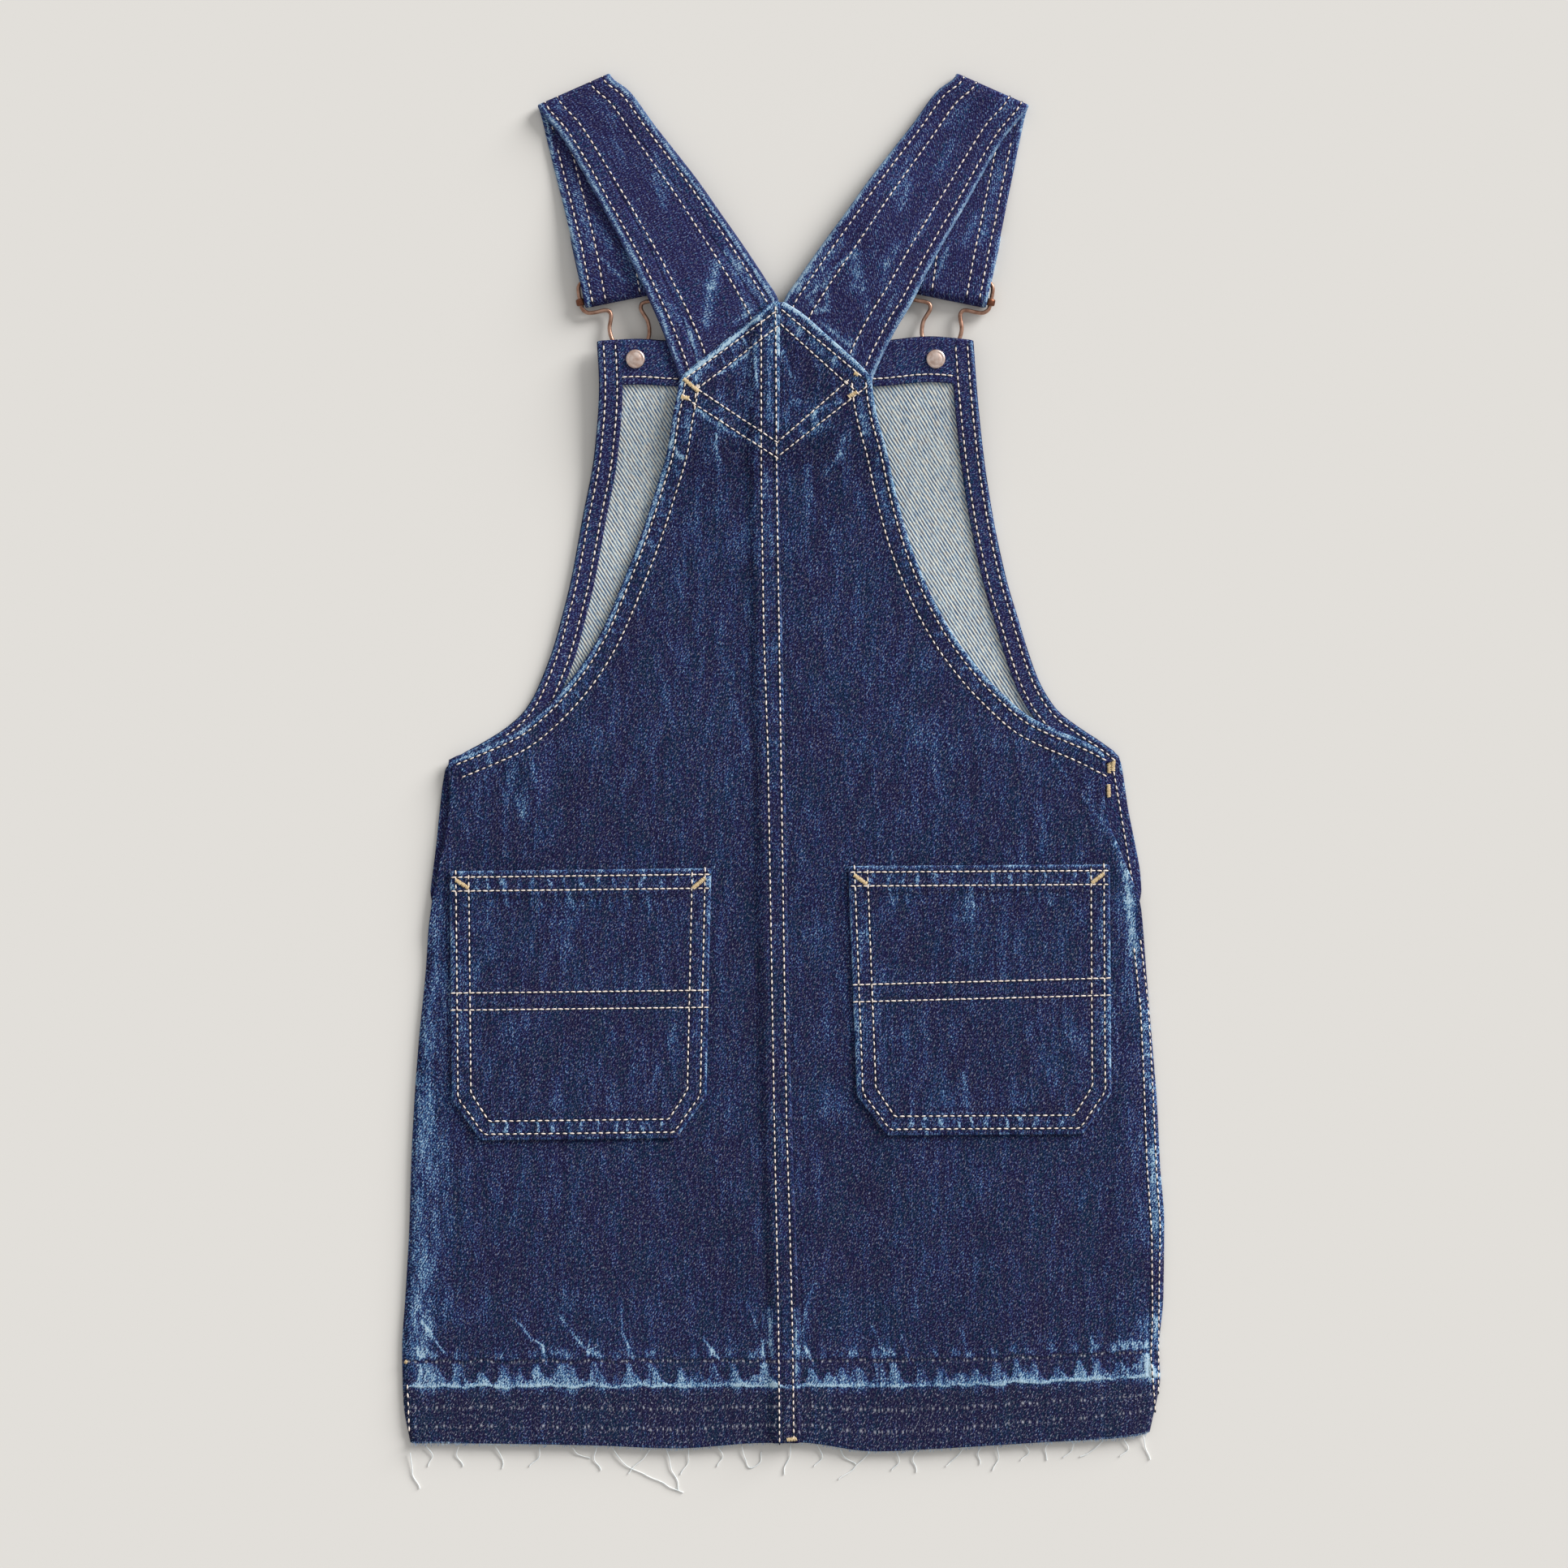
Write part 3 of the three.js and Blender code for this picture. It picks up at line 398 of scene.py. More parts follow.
CENTRE_ROWS = [Path(*row) for row in (
    ("left", [
        (-10.8, 215), (-10.8, 139), (-9.6, 63), (-7.6, 7), (-4.4, -177), (-3.6, -216), (-2.4, -273),
        (-1.8, -334),
    ]),
    ("right", [(-3.8, 222), (-3.2, 139), (1.6, -177), (3.2, -230), (4.6, -284), (5.2, -333)]),
)]
YOKE_ROWS = [Path(*row) for row in (
    ("upper left outer", [(-46.6, 188.6), (-4.6, 219.8)]),
    ("upper left inner", [(-41.6, 183), (-3.4, 212.7)]), ("upper right outer", [(0.1, 221), (37.4, 189.6)]),
    ("upper right inner", [(-0.5, 213.9), (30.7, 185.6)]),
    ("lower left outer", [(-48.8, 179.4), (-43.4, 175.1), (-3.4, 149.2)]),
    ("lower left inner", [(-43.4, 183.4), (-3.4, 156.8)]),
    ("lower right outer", [(-3.4, 149.2), (40.2, 183.2)]),
    ("lower right inner", [(-2.8, 156.8), (31.4, 186.4)]), ("left end", [(-42.4, 183.6), (-43.6, 175)]),
    ("right end", [(31, 186), (36.6, 180.6)]),
)]
YOKE_BANDS = [Path(*row) for row in (
    ("upper left", [(-44, 186), (-4, 216.3)]), ("upper right", [(0, 217.4), (34, 187.6)]),
    ("lower left", [(-46, 180), (-3.4, 153)]), ("lower right", [(-3.4, 153), (35.8, 184.4)]),
)]
SIDE_SEAM_ROWS = [Path(*row) for row in (
    ("inner", [
        (173, -93.2), (176, -120.8), (177.6, -153.6), (179.2, -198.4), (181.6, -233.2), (182, -274),
        (181.2, -292.8), (183.6, -321.6),
    ]),
    ("outer", [
        (176.2, -89.2), (180, -120.8), (182, -158.4), (184, -202.4), (185.8, -228), (185.2, -263.6),
        (185, -309.6),
    ]),
)]
SLIT_ROWS = [Path("side placket", [(163.2, -6), (167.6, -32), (172, -58.4)])]
LEFT_SIDE_ROW = [Path("left side", [(-185.2, -308.4), (-184.4, -329.2)])]


class Tack(NamedTuple):
    """A bartack, from one end to the other."""

    piece: str
    from_x: float
    from_y: float
    to_x: float
    to_y: float


TACKS = [Tack(*row) for row in (
    ("back_left", -48.7, 187.4, -41.6, 181.4), ("back_left", -49.9, 178.6, -46.4, 178),
    ("back_right", 35, 190.4, 36.6, 189.6), ("back_right", 32.2, 178.8, 36, 181),
    ("back_left", 2, -333.8, 6.4, -333.4), ("back_left", -186.4, -296, -185.4, -296.2),
    ("front", 160.4, -11.6, 160.6, -17.6), ("front", 163, 2.4, 162.6, -4.6),
    ("front", 160.6, 0.6, 160.8, -5.6), ("pocket_left", -161, -58.6, -155, -62.4),
    ("pocket_left", -44.4, -62.4, -38.6, -57.6), ("pocket_right", 35, -56, 41, -60.4),
    ("pocket_right", 152, -59.8, 157.6, -55.4),
)]

# The let-down hem: where its old fold line runs, how far above and below it the old stitch rows are, the
# height that stands for no hem, and the span of the raw edge that has fluff
HEM_FOLD = [Lean(-188, -308.4), Lean(-26, -307.6), Lean(52, -307.6), Lean(178, -303.6), Lean(190, -303)]
HEM_HOLES_UP = 12.4
HEM_ROWS_DOWN = (-10.4, -20.0)
NO_HEM = 60.0
RAW_EDGE_SPAN = (-183, 180)

# Threads that hang loose from the raw hem, each as a short run of points
LOOSE_THREADS = [
    [(-184, -341), (-183, -350), (-180, -359)], [(-84.8, -337.6), (-78, -347), (-64, -354), (-50, -361)],
    [(-64.8, -338.4), (-70, -345), (-77.2, -351.6)], [(-57.6, -338.8), (-55, -349), (-50.8, -360)],
    [(-46.4, -338.4), (-47, -345), (-50, -352)],
    [(-20.4, -337.6), (-19, -344), (-16, -348.8), (-12, -346), (-10, -340.8)],
    [(4, -335.2), (3, -343), (0, -352)], [(43.6, -339.2), (38, -346), (28, -354.4)],
    [(88.8, -338.8), (85, -344), (79.6, -348)], [(105.6, -338), (106, -344), (104, -350)],
    [(143.6, -336), (142, -340), (138.8, -343.6)], [(158, -334.8), (153, -340), (146.4, -343.2)],
    [(177.2, -332), (179, -338), (180.4, -344.8)], [(-160, -338), (-161, -343), (-158, -348)],
    [(-142, -338), (-139, -343), (-139, -349)], [(-120, -338), (-121, -344), (-125, -348)],
    [(-104, -338.4), (-101, -342), (-96, -344)], [(-92, -338.4), (-93, -345), (-90, -350)],
    [(-32, -338.4), (-30, -343), (-32, -348)], [(17, -337), (19, -343), (16, -348)],
    [(28, -339), (31, -344), (36, -347)], [(56, -340.4), (57, -346), (54, -350)],
    [(66, -340), (64, -345), (66, -351)], [(98, -338), (96, -342), (97, -347)],
    [(119, -336.6), (121, -341), (118, -345)], [(131, -336), (129, -340), (131, -345)],
    [(168, -334), (170, -339), (167, -343)], [(-176, -338), (-173, -343), (-175, -348)],
]


def rgb(code: str) -> tuple[float, float, float, float]:
    """The linear colour of an sRGB hex code."""
    parts = [int(code[i:i + 2], 16) / 255 for i in (1, 3, 5)]
    linear = [c / 12.92 if c <= 0.04045 else ((c + 0.055) / 1.055) ** 2.4 for c in parts]
    return (*linear, 1.0)


def ease(start: float, end: float, value: Array) -> Array:
    """A smooth step from 0 at start to 1 at end."""
    t = np.clip((np.asarray(value, float) - start) / (end - start), 0, 1)
    return t * t * (3 - 2 * t)


def bump(value: Array, width: float) -> Array:
    """A bell of height 1 about 0."""
    return np.exp(-((np.asarray(value, float) / width) ** 2))


class Curve:
    """A smooth line through the rows of a table that never overshoots them."""

    def __init__(self, at: Sequence[float], value: Sequence[float]) -> None:
        """Args: at: the key of each row. value: what is read at it."""
        order = np.argsort(at)
        self.at = np.asarray(at, float)[order]
        self.value = np.asarray(value, float)[order]
        span = np.diff(self.at)
        step = np.diff(self.value) / span
        before, after = step[:-1], step[1:]
        with np.errstate(divide="ignore", invalid="ignore"):
            middle = np.where(before * after <= 0, 0, 2 * before * after / (before + after))
        self.slope = np.concatenate([[step[0]], middle, [step[-1]]])

    def __call__(self, where: Array) -> Array:
        """Returns: the line's value at each place."""
        w = np.clip(np.asarray(where, float), self.at[0], self.at[-1])
        i = np.clip(np.searchsorted(self.at, w, side="right") - 1, 0, len(self.at) - 2)
        span = self.at[i + 1] - self.at[i]
        t = (w - self.at[i]) / span
        u = 1 - t
        ends = u * u * (1 + 2 * t) * self.value[i] + t * t * (1 + 2 * u) * self.value[i + 1]
        return ends + t * u * u * span * self.slope[i] - t * t * u * span * self.slope[i + 1]


def column(rows: Sequence, key: str, name: str) -> Curve:
    """Reads one column of a table along another."""
    return Curve([getattr(r, key) for r in rows], [getattr(r, name) for r in rows])


back_left = column(BACK_SECTIONS, "y", "left")
back_lap = column(BACK_SECTIONS, "y", "lap")
back_right = column(BACK_SECTIONS, "y", "right")
bib_left = column(FRONT_SECTIONS, "y", "left")
bib_right = column(FRONT_SECTIONS, "y", "right")
hem_drop = column(HEM_DROPS, "x", "drop")
yoke_lean = column(YOKE_LEAN, "y", "shift")
hem_fold = column(HEM_FOLD, "y", "shift")


def front_left(y: Array) -> Array:
    """The front's left edge: its own above the hips, just inside the back's below."""
    t = ease(-64, -78, y)
    return bib_left(y) * (1 - t) + (back_left(y) + FRONT_INSET) * t


def front_right(y: Array) -> Array:
    """The front's right edge."""
    t = ease(-64, -78, y)
    return bib_right(y) * (1 - t) + (back_right(y) - FRONT_INSET) * t


def hem_shift(x: Array, y: Array) -> Array:
    """How far the wavy raw hem moves a point of the skirt up or down."""
    return -hem_drop(x) * ease(HEM_LINE + HEM_FADE, HEM_LINE, y)


def bib_arch(x: Array, y: Array) -> Array:
    """The bib's top edge rises in a low arch over each button."""
    return (1.2 * bump(x + 72, 14) + 2.4 * bump(x - 72, 18)) * ease(150, 190, y)


def front_base(x: Array, y: Array) -> Array:
    """Underside of the front: on the surface, and raised at the bib's top by the buttons under it."""
    near = bump(np.abs(x - BIB_CENTRE) - BUTTON_HALF_SPACING, BIB_LIFT_SPREAD)
    return (BIB_LIFT_BETWEEN + (BIB_LIFT_AT_BUTTON - BIB_LIFT_BETWEEN) * near) * ease(110, 190, y)


def to_line(x: Array, y: Array, start: Sequence, end: Sequence) -> tuple[Array, Array, Array]:
    """How points lie to a straight line.

    Args:
        x, y: the points.
        start, end: the line's ends, as (x, y) pairs.

    Returns:
        The share of the line at the nearest place, the distance to it, and the distance to the line's left.
    """
    ax, ay = end[0] - start[0], end[1] - start[1]
    length = math.hypot(ax, ay)
    t = np.clip(((x - start[0]) * ax + (y - start[1]) * ay) / length ** 2, 0, 1)
    away = np.hypot(x - start[0] - t * ax, y - start[1] - t * ay)
    return t, away, (ax * (y - start[1]) - ay * (x - start[0])) / length


def line_field(x: Array, y: Array, rows: Sequence) -> Array:
    """Sum of soft streaks or folds, each a bell across its line, with its last column as its height."""
    total = np.zeros(np.broadcast(x, y).shape)
    for row in rows:
        total += row[-1] * bump(to_line(x, y, row[0:2], row[2:4])[1], row.width)
    return total


def worn_fields(x: Array, y: Array, rows: Sequence[Streak]) -> dict:
    """The wide streaks as one field of fading and painted fold shade, and the nearest crisp one as a signed
    distance and its paleness.

    Args:
        x, y: the points.
        rows: the streaks.

    Returns:
        The fields by name.
    """
    best = np.full(x.shape, 30.0)
    line = best.copy()
    drawn = np.zeros(x.shape)
    for row in rows:
        if row.width >= CRISP:
            continue
        _, away, beside = to_line(x, y, row[0:2], row[2:4])
        line = np.where(away < best, beside * 1.4 / row.width, line)
        drawn = np.where(away < best, row.amount * (1 - ease(2.6, 5.0, away)), drawn)
        best = np.minimum(best, away)
    wide = [row for row in rows if row.width >= CRISP]
    return {"fade": np.clip(line_field(x, y, wide), -0.3, 0.85), "line": line, "drawn": drawn}


def tongue_fields(x: Array, up: Array) -> dict:
    """How far outside the nearest pale ridge above the let-down fold points are, and outside its smear.

    Args:
        x: the points' places across.
        up: their heights above the fold.

    Returns:
        The two fields by name, in millimetres.
    """
    tongue = np.full(x.shape, 30.0)
    smear = tongue.copy()
    for row in TONGUES:
        top = 1.3 * row.high
        half = (1.15 * row.half + 0.6) * (1 - 0.4 * ease(0.2 * top, top, up))
        half = half - 3.0 * ease(0.9 * top, 1.2 * top, up)
        away = np.abs(x - row.x + TONGUE_LEAN * (up - 5))
        tongue = np.minimum(tongue, away - half)
        smear = np.minimum(smear, away - row.half)
    return {"tongue": tongue, "smear": smear}


def back_base(x: Array, y: Array) -> Array:
    """Underside of the back: over the front, its turned edges and the strap ends, with the folds."""
    from_side = np.maximum(0, np.minimum(x - back_left(y), back_right(y) - x))
    inside = 1 - bump(from_side, 34)
    over = (FACING + GAP) * ease(-78, -30, y) + (STRAP + GAP + SLACK) * ease(136, 166, y)
    puff = PUFF * inside * (1 - 0.6 * ease(0, 60, y)) * (1 - ease(150, 180, y))
    at_hem = 1 - 0.5 * ease(HEM_LINE + HEM_FADE, HEM_LINE, y)
    soft = line_field(x, y, FOLDS) * inside ** 0.4
    return front_base(x, y) + CLOTH + GAP + over + np.maximum(0, (puff + soft) * at_hem)


def nearest(x: Array, y: Array, points: Sequence) -> tuple[Array, Array]:
    """Distance to a run of points and the length along it to the nearest place.

    Args:
        x, y: where to measure from.
        points: the run, as (x, y) pairs.

    Returns:
        The distance and the length along, each shaped as x.
    """
    best = np.full(np.shape(x), 1e9)
    along = np.zeros(np.shape(x))
    gone = 0.0
    for a, b in zip(points[:-1], points[1:]):
        length = math.hypot(b[0] - a[0], b[1] - a[1])
        if length < 1e-9:
            continue
        t, away, _ = to_line(x, y, a, b)
        closer = away < best
        best = np.where(closer, away, best)
        along = np.where(closer, gone + t * length, along)
        gone += length
    return best, along


def offset(points: Sequence, away: float) -> list:
    """The run of points moved sideways, to the left of its direction for a positive distance."""
    p = np.asarray(points, float)
    d = np.gradient(p, axis=0)
    d /= np.maximum(np.linalg.norm(d, axis=1, keepdims=True), 1e-9)
    return [tuple(q) for q in p + away * np.stack([-d[:, 1], d[:, 0]], axis=1)]


def lengths(points: Array) -> Array:
    """The length gone along a run at each of its points."""
    return np.concatenate([[0], np.cumsum(np.linalg.norm(np.diff(points, axis=0), axis=1))])


def resample(points: Sequence, step: float) -> Array:
    """Points at even steps along a run, in as many dimensions as it has."""
    p = np.asarray(points, float)
    gone = lengths(p)
    count = max(2, int(round(gone[-1] / step)) + 1)
    at = np.linspace(0, gone[-1], count)
    return np.stack([np.interp(at, gone, p[:, k]) for k in range(p.shape[1])], axis=1)


def with_ends(p: Array) -> Array:
    """A run with one more point at each end, straight on."""
    return np.concatenate([2 * p[:1] - p[1:2], p, 2 * p[-1:] - p[-2:-1]])


def smooth_run(points: Sequence, step: float, closed: bool = False) -> Array:
    """A rounded run through the points, at about even steps."""
    p = np.asarray(points, float)
    ring = np.concatenate([p[-1:], p, p[:2]]) if closed else with_ends(p)
    out = []
    for i in range(1, len(ring) - 2):
        a, b, c, d = ring[i - 1:i + 3]
        for t in np.arange(12) / 12:
            square, cube = 2 * a - 5 * b + 4 * c - d, 3 * b - a - 3 * c + d
            out.append(0.5 * (2 * b + (c - a) * t + square * t ** 2 + cube * t ** 3))
    out.append(ring[-2])
    return resample(out, step)


def weave_map(x: Array, y: Array, degrees: float) -> Array:
    """Weave coordinates in metres: the first along the twill's wales, the second across them."""
    a = math.radians(degrees)
    along = x * math.cos(a) + y * math.sin(a)
    across = -x * math.sin(a) + y * math.cos(a)
    return np.stack([along, across], axis=-1) * MM


class Side(Enum):
    """Which hand a piece is on, as seen from above."""

    LEFT = -1
    RIGHT = 1

    @property
    def word(self) -> str:
        """The side in the pieces' names."""
        return self.name.lower()


@dataclass(frozen=True)
class DenimFinish:
    """How a washed twill looks.

    The colours run from the deepest indigo through the washed body colour to a bare worn edge.
    """

    ramp: tuple
    base: float
    wale_mm: float
    fleck: float
    mottle: float
    wear: float
    lean: float
    tint: float = 0.16


class Nodes:
    """Adds shader nodes with their inputs set, and wires them."""

    def __init__(self, tree: Tree) -> None:
        """Args: tree: the node tree to add to."""
        self.tree = tree

    def add(self, kind: str, inputs: Optional[dict] = None, **settings) -> Node:
        """Adds a node.

        Args:
            kind: its type.
            inputs: socket name or index to a value or to another node's output.
            settings: the node's own properties.

        Returns:
            The new node.
        """
        node = self.tree.nodes.new(kind)
        for key, value in settings.items():
            setattr(node, key, value)
        for key, value in (inputs or {}).items():
            socket = node.inputs[key]
            if isinstance(value, Socket):
                self.tree.links.new(value, socket)
            else:
                socket.default_value = value
        return node

    def math(self, operation: str, a, b=0.0, c=0.0, clamp: bool = False) -> Socket:
        """A math node's output."""
        node = self.add("ShaderNodeMath", {0: a, 1: b, 2: c}, operation=operation, use_clamp=clamp)
        return node.outputs[0]

    def plus(self, a, b) -> Socket:
        """The sum of two numbers."""
        return self.math("ADD", a, b)

    def times(self, *factors) -> Socket:
        """The product of two or more numbers."""
        product = factors[0]
        for factor in factors[1:]:
            product = self.math("MULTIPLY", product, factor)
        return product

    def fuse(self, a, b, c) -> Socket:
        """The product of two numbers, plus a third."""
        return self.math("MULTIPLY_ADD", a, b, c)

    def rest(self, a) -> Socket:
        """What a number leaves of 1."""
        return self.math("SUBTRACT", 1.0, a)

    def add_up(self, total, parts: Sequence) -> Socket:
        """A number plus each value times its amount."""
        for value, amount in parts:
            total = self.fuse(value, amount, total)
        return total

    def attribute(self, name: str) -> Socket:
        """A number that the mesh carries at each point."""
        return self.add("ShaderNodeAttribute", attribute_name=name).outputs["Fac"]

    def noise(self, vector, scale: float, detail: float = 2.0, rough: float = 0.5) -> Socket:
        """Smooth noise from 0 to 1."""
        inputs = {"Vector": vector, "Scale": scale, "Detail": detail, "Roughness": rough}
        return self.add("ShaderNodeTexNoise", inputs).outputs["Fac"]

    def stretch(self, vector, x: float, y: float, turn: float = 0.0, shift: float = 0.0) -> Socket:
        """Coordinates divided by lengths along two axes, after a turn in degrees."""
        inputs = {"Vector": vector, "Angle": math.radians(turn)}
        turned = self.add("ShaderNodeVectorRotate", inputs, rotation_type="Z_AXIS").outputs[0]
        inputs = {0: turned, 1: (1 / x, 1 / y, 1.0), 2: (shift, shift, 0.0)}
        return self.add("ShaderNodeVectorMath", inputs, operation="MULTIPLY_ADD").outputs[0]

    def step(self, value, start: float, end: float, low: float = 0.0, high: float = 1.0) -> Socket:
        """A smooth step between two levels."""
        node = self.add(
            "ShaderNodeMapRange",
            {"Value": value, "From Min": start, "From Max": end, "To Min": low, "To Max": high},
            interpolation_type="SMOOTHSTEP",
        )
        return node.outputs["Result"]

    def bell(self, value, middle: float, width: float) -> Socket:
        """A bell of height 1 about a middle value."""
        away = self.math("DIVIDE", self.math("SUBTRACT", value, middle), width)
        return self.math("EXPONENT", self.math("MULTIPLY", self.math("MULTIPLY", away, away), -1.0))

    def millimetres(self, layer: str) -> Socket:
        """Coordinates of one of the mesh's maps, in millimetres."""
        uv = self.add("ShaderNodeUVMap", uv_map=layer).outputs["UV"]
        return self.add("ShaderNodeVectorMath", {0: uv, "Scale": 1000.0}, operation="SCALE").outputs[0]

    def swing(self, vector, amount: float, detail: float = 2.0) -> Socket:
        """Noise about nought, times an amount."""
        return self.math("MULTIPLY", self.math("SUBTRACT", self.noise(vector, 1.0, detail), 0.5), amount)

    def mix(self, share, first, second) -> Socket:
        """A mix of two colours, each a socket or a hex code."""
        pair = [rgb(c) if isinstance(c, str) else c for c in (first, second)]
        node = self.add("ShaderNodeMix", {0: share, 6: pair[0], 7: pair[1]}, data_type="RGBA")
        return node.outputs[2]

    def ramp(self, value, stops: Sequence) -> Socket:
        """A colour from stops of (place, hex code)."""
        node = self.add("ShaderNodeValToRGB", {"Fac": value})
        elements = node.color_ramp.elements
        while len(elements) < len(stops):
            elements.new(0.5)
        for element, (place, code) in zip(elements, stops):
            element.position = place
            element.color = rgb(code)
        return node.outputs["Color"]


def new_material(name: str) -> tuple[Material, Nodes, Node]:
    """An empty material with a principled shader.

    Returns:
        The material, its node adder and its shader.
    """
    material = bpy.data.materials.new(name)
    material.use_nodes = True
    material.node_tree.nodes.clear()
    nodes = Nodes(material.node_tree)
    shader = nodes.add("ShaderNodeBsdfPrincipled")
    nodes.add("ShaderNodeOutputMaterial", {"Surface": shader.outputs["BSDF"]})
    return material, nodes, shader


def washed_denim(name: str, finish: DenimFinish) -> Material:
    """Indigo twill: diagonal wales broken into pale flecks, streaky along the warp, bare where it wears."""
    material, n, shader = new_material(name)
    mm = n.millimetres("weave")
    warp = n.millimetres("grain")
    parts = n.add("ShaderNodeSeparateXYZ", {0: mm})
    edge, band = n.attribute("edge"), n.attribute("band")
    sideways = n.add("ShaderNodeCombineXYZ", {0: n.attribute("across")}).outputs[0]
    hem = n.plus(n.attribute("hem"), n.swing(n.stretch(sideways, 11.0, 1.0, 0.0, 8.0), 5.0))
    fresh = n.rest(n.step(hem, -2.4, -0.8))
    # wales: fine diagonal ridges that wander a little
    across = n.plus(parts.outputs["Y"], n.swing(n.stretch(mm, 5.0, 2.0), 0.7))
    wale = n.math("SINE", n.times(across, 2 * math.pi / finish.wale_mm))
    # specks and flecks: the white weft between the warp floats
    speck = n.swing(n.stretch(mm, 1.4, 0.8), 1.0, 1.0)
    grit = n.swing(n.stretch(mm, 0.9, 0.62, 0.0, 3.0), 1.0, 0.0)
    fleck = n.step(n.noise(n.stretch(mm, 1.5, 0.7, 0.0, 11.0), 1.0, 1.0), 0.6, 0.72)
    # the warp's uneven yarns, as streaks along it
    yarn = n.swing(n.stretch(warp, 16.0, 0.9), 1.0, 2.0)
    slub = n.swing(n.stretch(warp, 6.0, 1.5, 0.0, 5.0), 1.0, 2.0)
    # washed clouding, streaky along the warp
    mottle = n.swing(n.stretch(warp, 20.0, 4.8), 1.0, 3.0)
    cloud = n.swing(n.stretch(warp, 80.0, 45.0), 1.0, 2.0)
    # wear and painted fold shade: the piece's own faded field, broken up along the warp
    rub = n.noise(n.stretch(warp, 5.5, 1.9, 0.0, 2.0), 1.0, 3.0, 0.62)
    fade = n.times(n.attribute("fade"), n.step(rub, 0.34, 0.64, 0.62, 1.22))
    wander = n.plus(n.attribute("line"), n.swing(n.stretch(mm, 4.0, 4.0, 0.0, 12.0), 1.7))
    core = n.fuse(n.bell(wander, 0.0, 0.75), 0.7, n.times(n.bell(wander, 0.0, 1.9), 0.4))
    crisp = n.times(core, n.attribute("drawn"), n.step(rub, 0.34, 0.64, 0.5, 1.25))
    # bare folded edges, thin and uneven
    scuff = n.noise(n.stretch(mm, 5.0, 3.0, 75.0), 1.0, 3.0, 0.62)
    bare = n.times(n.bell(edge, 0.0, 1.05), n.step(scuff, 0.34, 0.6, 0.5, 1.0))
    halo = n.times(n.bell(edge, 1.2, 4.0), n.step(rub, 0.46, 0.68, 0.0, 0.5))
    # seams: puckers between the two rows, and a groove along each row whose colour is darkened as painted
    # shade; at a pocket's mouth and foot, a painted shade line past the inner row
    uneven = n.swing(n.stretch(warp, 13.0, 13.0, 0.0, 7.0), 9.0)
    wave = n.math("SINE", n.fuse(n.attribute("along"), 2 * math.pi / PUCKER_PITCH, uneven))
    in_band = n.rest(n.step(band, 2.0, 5.2))
    crest = n.times(n.step(wave, 0.2, 1.0), n.step(scuff, 0.36, 0.62, 0.3, 1.15))
    gather = n.attribute("gather")
    pucker = n.times(in_band, crest, gather)
    # the groove dents the relief, and it darkens the colour as painted shade
    groove_and_shade = n.bell(band, NEEDLE_GAUGE / 2, 0.7)
    # painted shade: a dark line just past the inner row at a pocket's mouth and foot
    at_mouth = n.step(gather, 0.6, 0.8)
    mouth_shade = n.times(n.bell(band, NEEDLE_GAUGE, 1.0), at_mouth, n.step(rub, 0.36, 0.6, 1.1, 0.2))
    # the let-down hem: a scalloped bare fold, pale tongues above it up to the old stitch holes
    near = n.math("EXPONENT", n.times(hem, -1 / 2.3))
    from_tongue = n.plus(n.attribute("tongue"), n.swing(n.stretch(mm, 4.0, 4.0, 0.0, 6.0), 2.0))
    scallop = n.rest(n.step(n.fuse(near, -5.6, from_tongue), -0.7, 1.2))
    in_rope = n.times(n.step(hem, -0.9, 0.2), n.rest(n.step(hem, 10.6, 13.0)))
    patchy = n.step(n.noise(n.stretch(sideways, 26.0, 1.0, 0.0, 4.0), 1.0, 1.0), 0.36, 0.62, 0.72, 1.1)
    frosted = n.times(patchy, n.step(rub, 0.3, 0.62, 0.7, 1.15))
    rope = n.times(in_rope, scallop, frosted)
    stub = n.times(n.bell(hem, -2.4, 1.9), n.rest(n.step(from_tongue, -0.6, 1.4)))
    from_smear = n.plus(n.attribute("smear"), n.swing(n.stretch(mm, 4.0, 4.0, 0.0, 14.0), 4.0))
    smeared = n.rest(n.step(from_smear, -0.4, 1.8))
    smudge = n.times(n.bell(hem, 16.0, 2.6), smeared, n.step(rub, 0.36, 0.58, 0.2, 1.15))
    old_fold = n.times(n.bell(hem, 0.2, 1.3), n.step(scuff, 0.3, 0.56, 0.5, 1.15))
    dots = n.noise(n.stretch(sideways, 1.7, 1.0), 1.0, 1.0)
    holes = n.times(n.bell(hem, HEM_HOLES_UP, 0.9), n.step(dots, 0.35, 0.55, 0.6, 1.1))
    rows = n.plus(*[n.bell(hem, up, 0.65) for up in HEM_ROWS_DOWN])
    marks = n.times(n.plus(rows, n.bell(hem, HEM_HOLES_UP, 0.5)), n.step(dots, 0.52, 0.6))
    # all together
    grain = n.fuse(speck, 1.0, n.times(grit, 1.7))
    tone = n.add_up(finish.base, (
        (wale, n.fuse(fresh, 0.08, 0.09)), (grain, 0.8), (yarn, 0.52), (slub, 0.42), (mottle, finish.mottle),
        (cloud, 0.42), (fade, finish.wear), (bare, 0.68), (halo, 0.34), (pucker, 0.56), (groove_and_shade, -0.15),
        (mouth_shade, -0.34), (old_fold, 0.38), (rope, 0.6), (in_rope, -0.07), (stub, 0.3), (smudge, 0.5),
        (crisp, 1.05), (holes, -0.42), (fresh, -0.17),
    ))
    colour = n.ramp(n.math("ADD", tone, 0.0, clamp=True), finish.ramp)
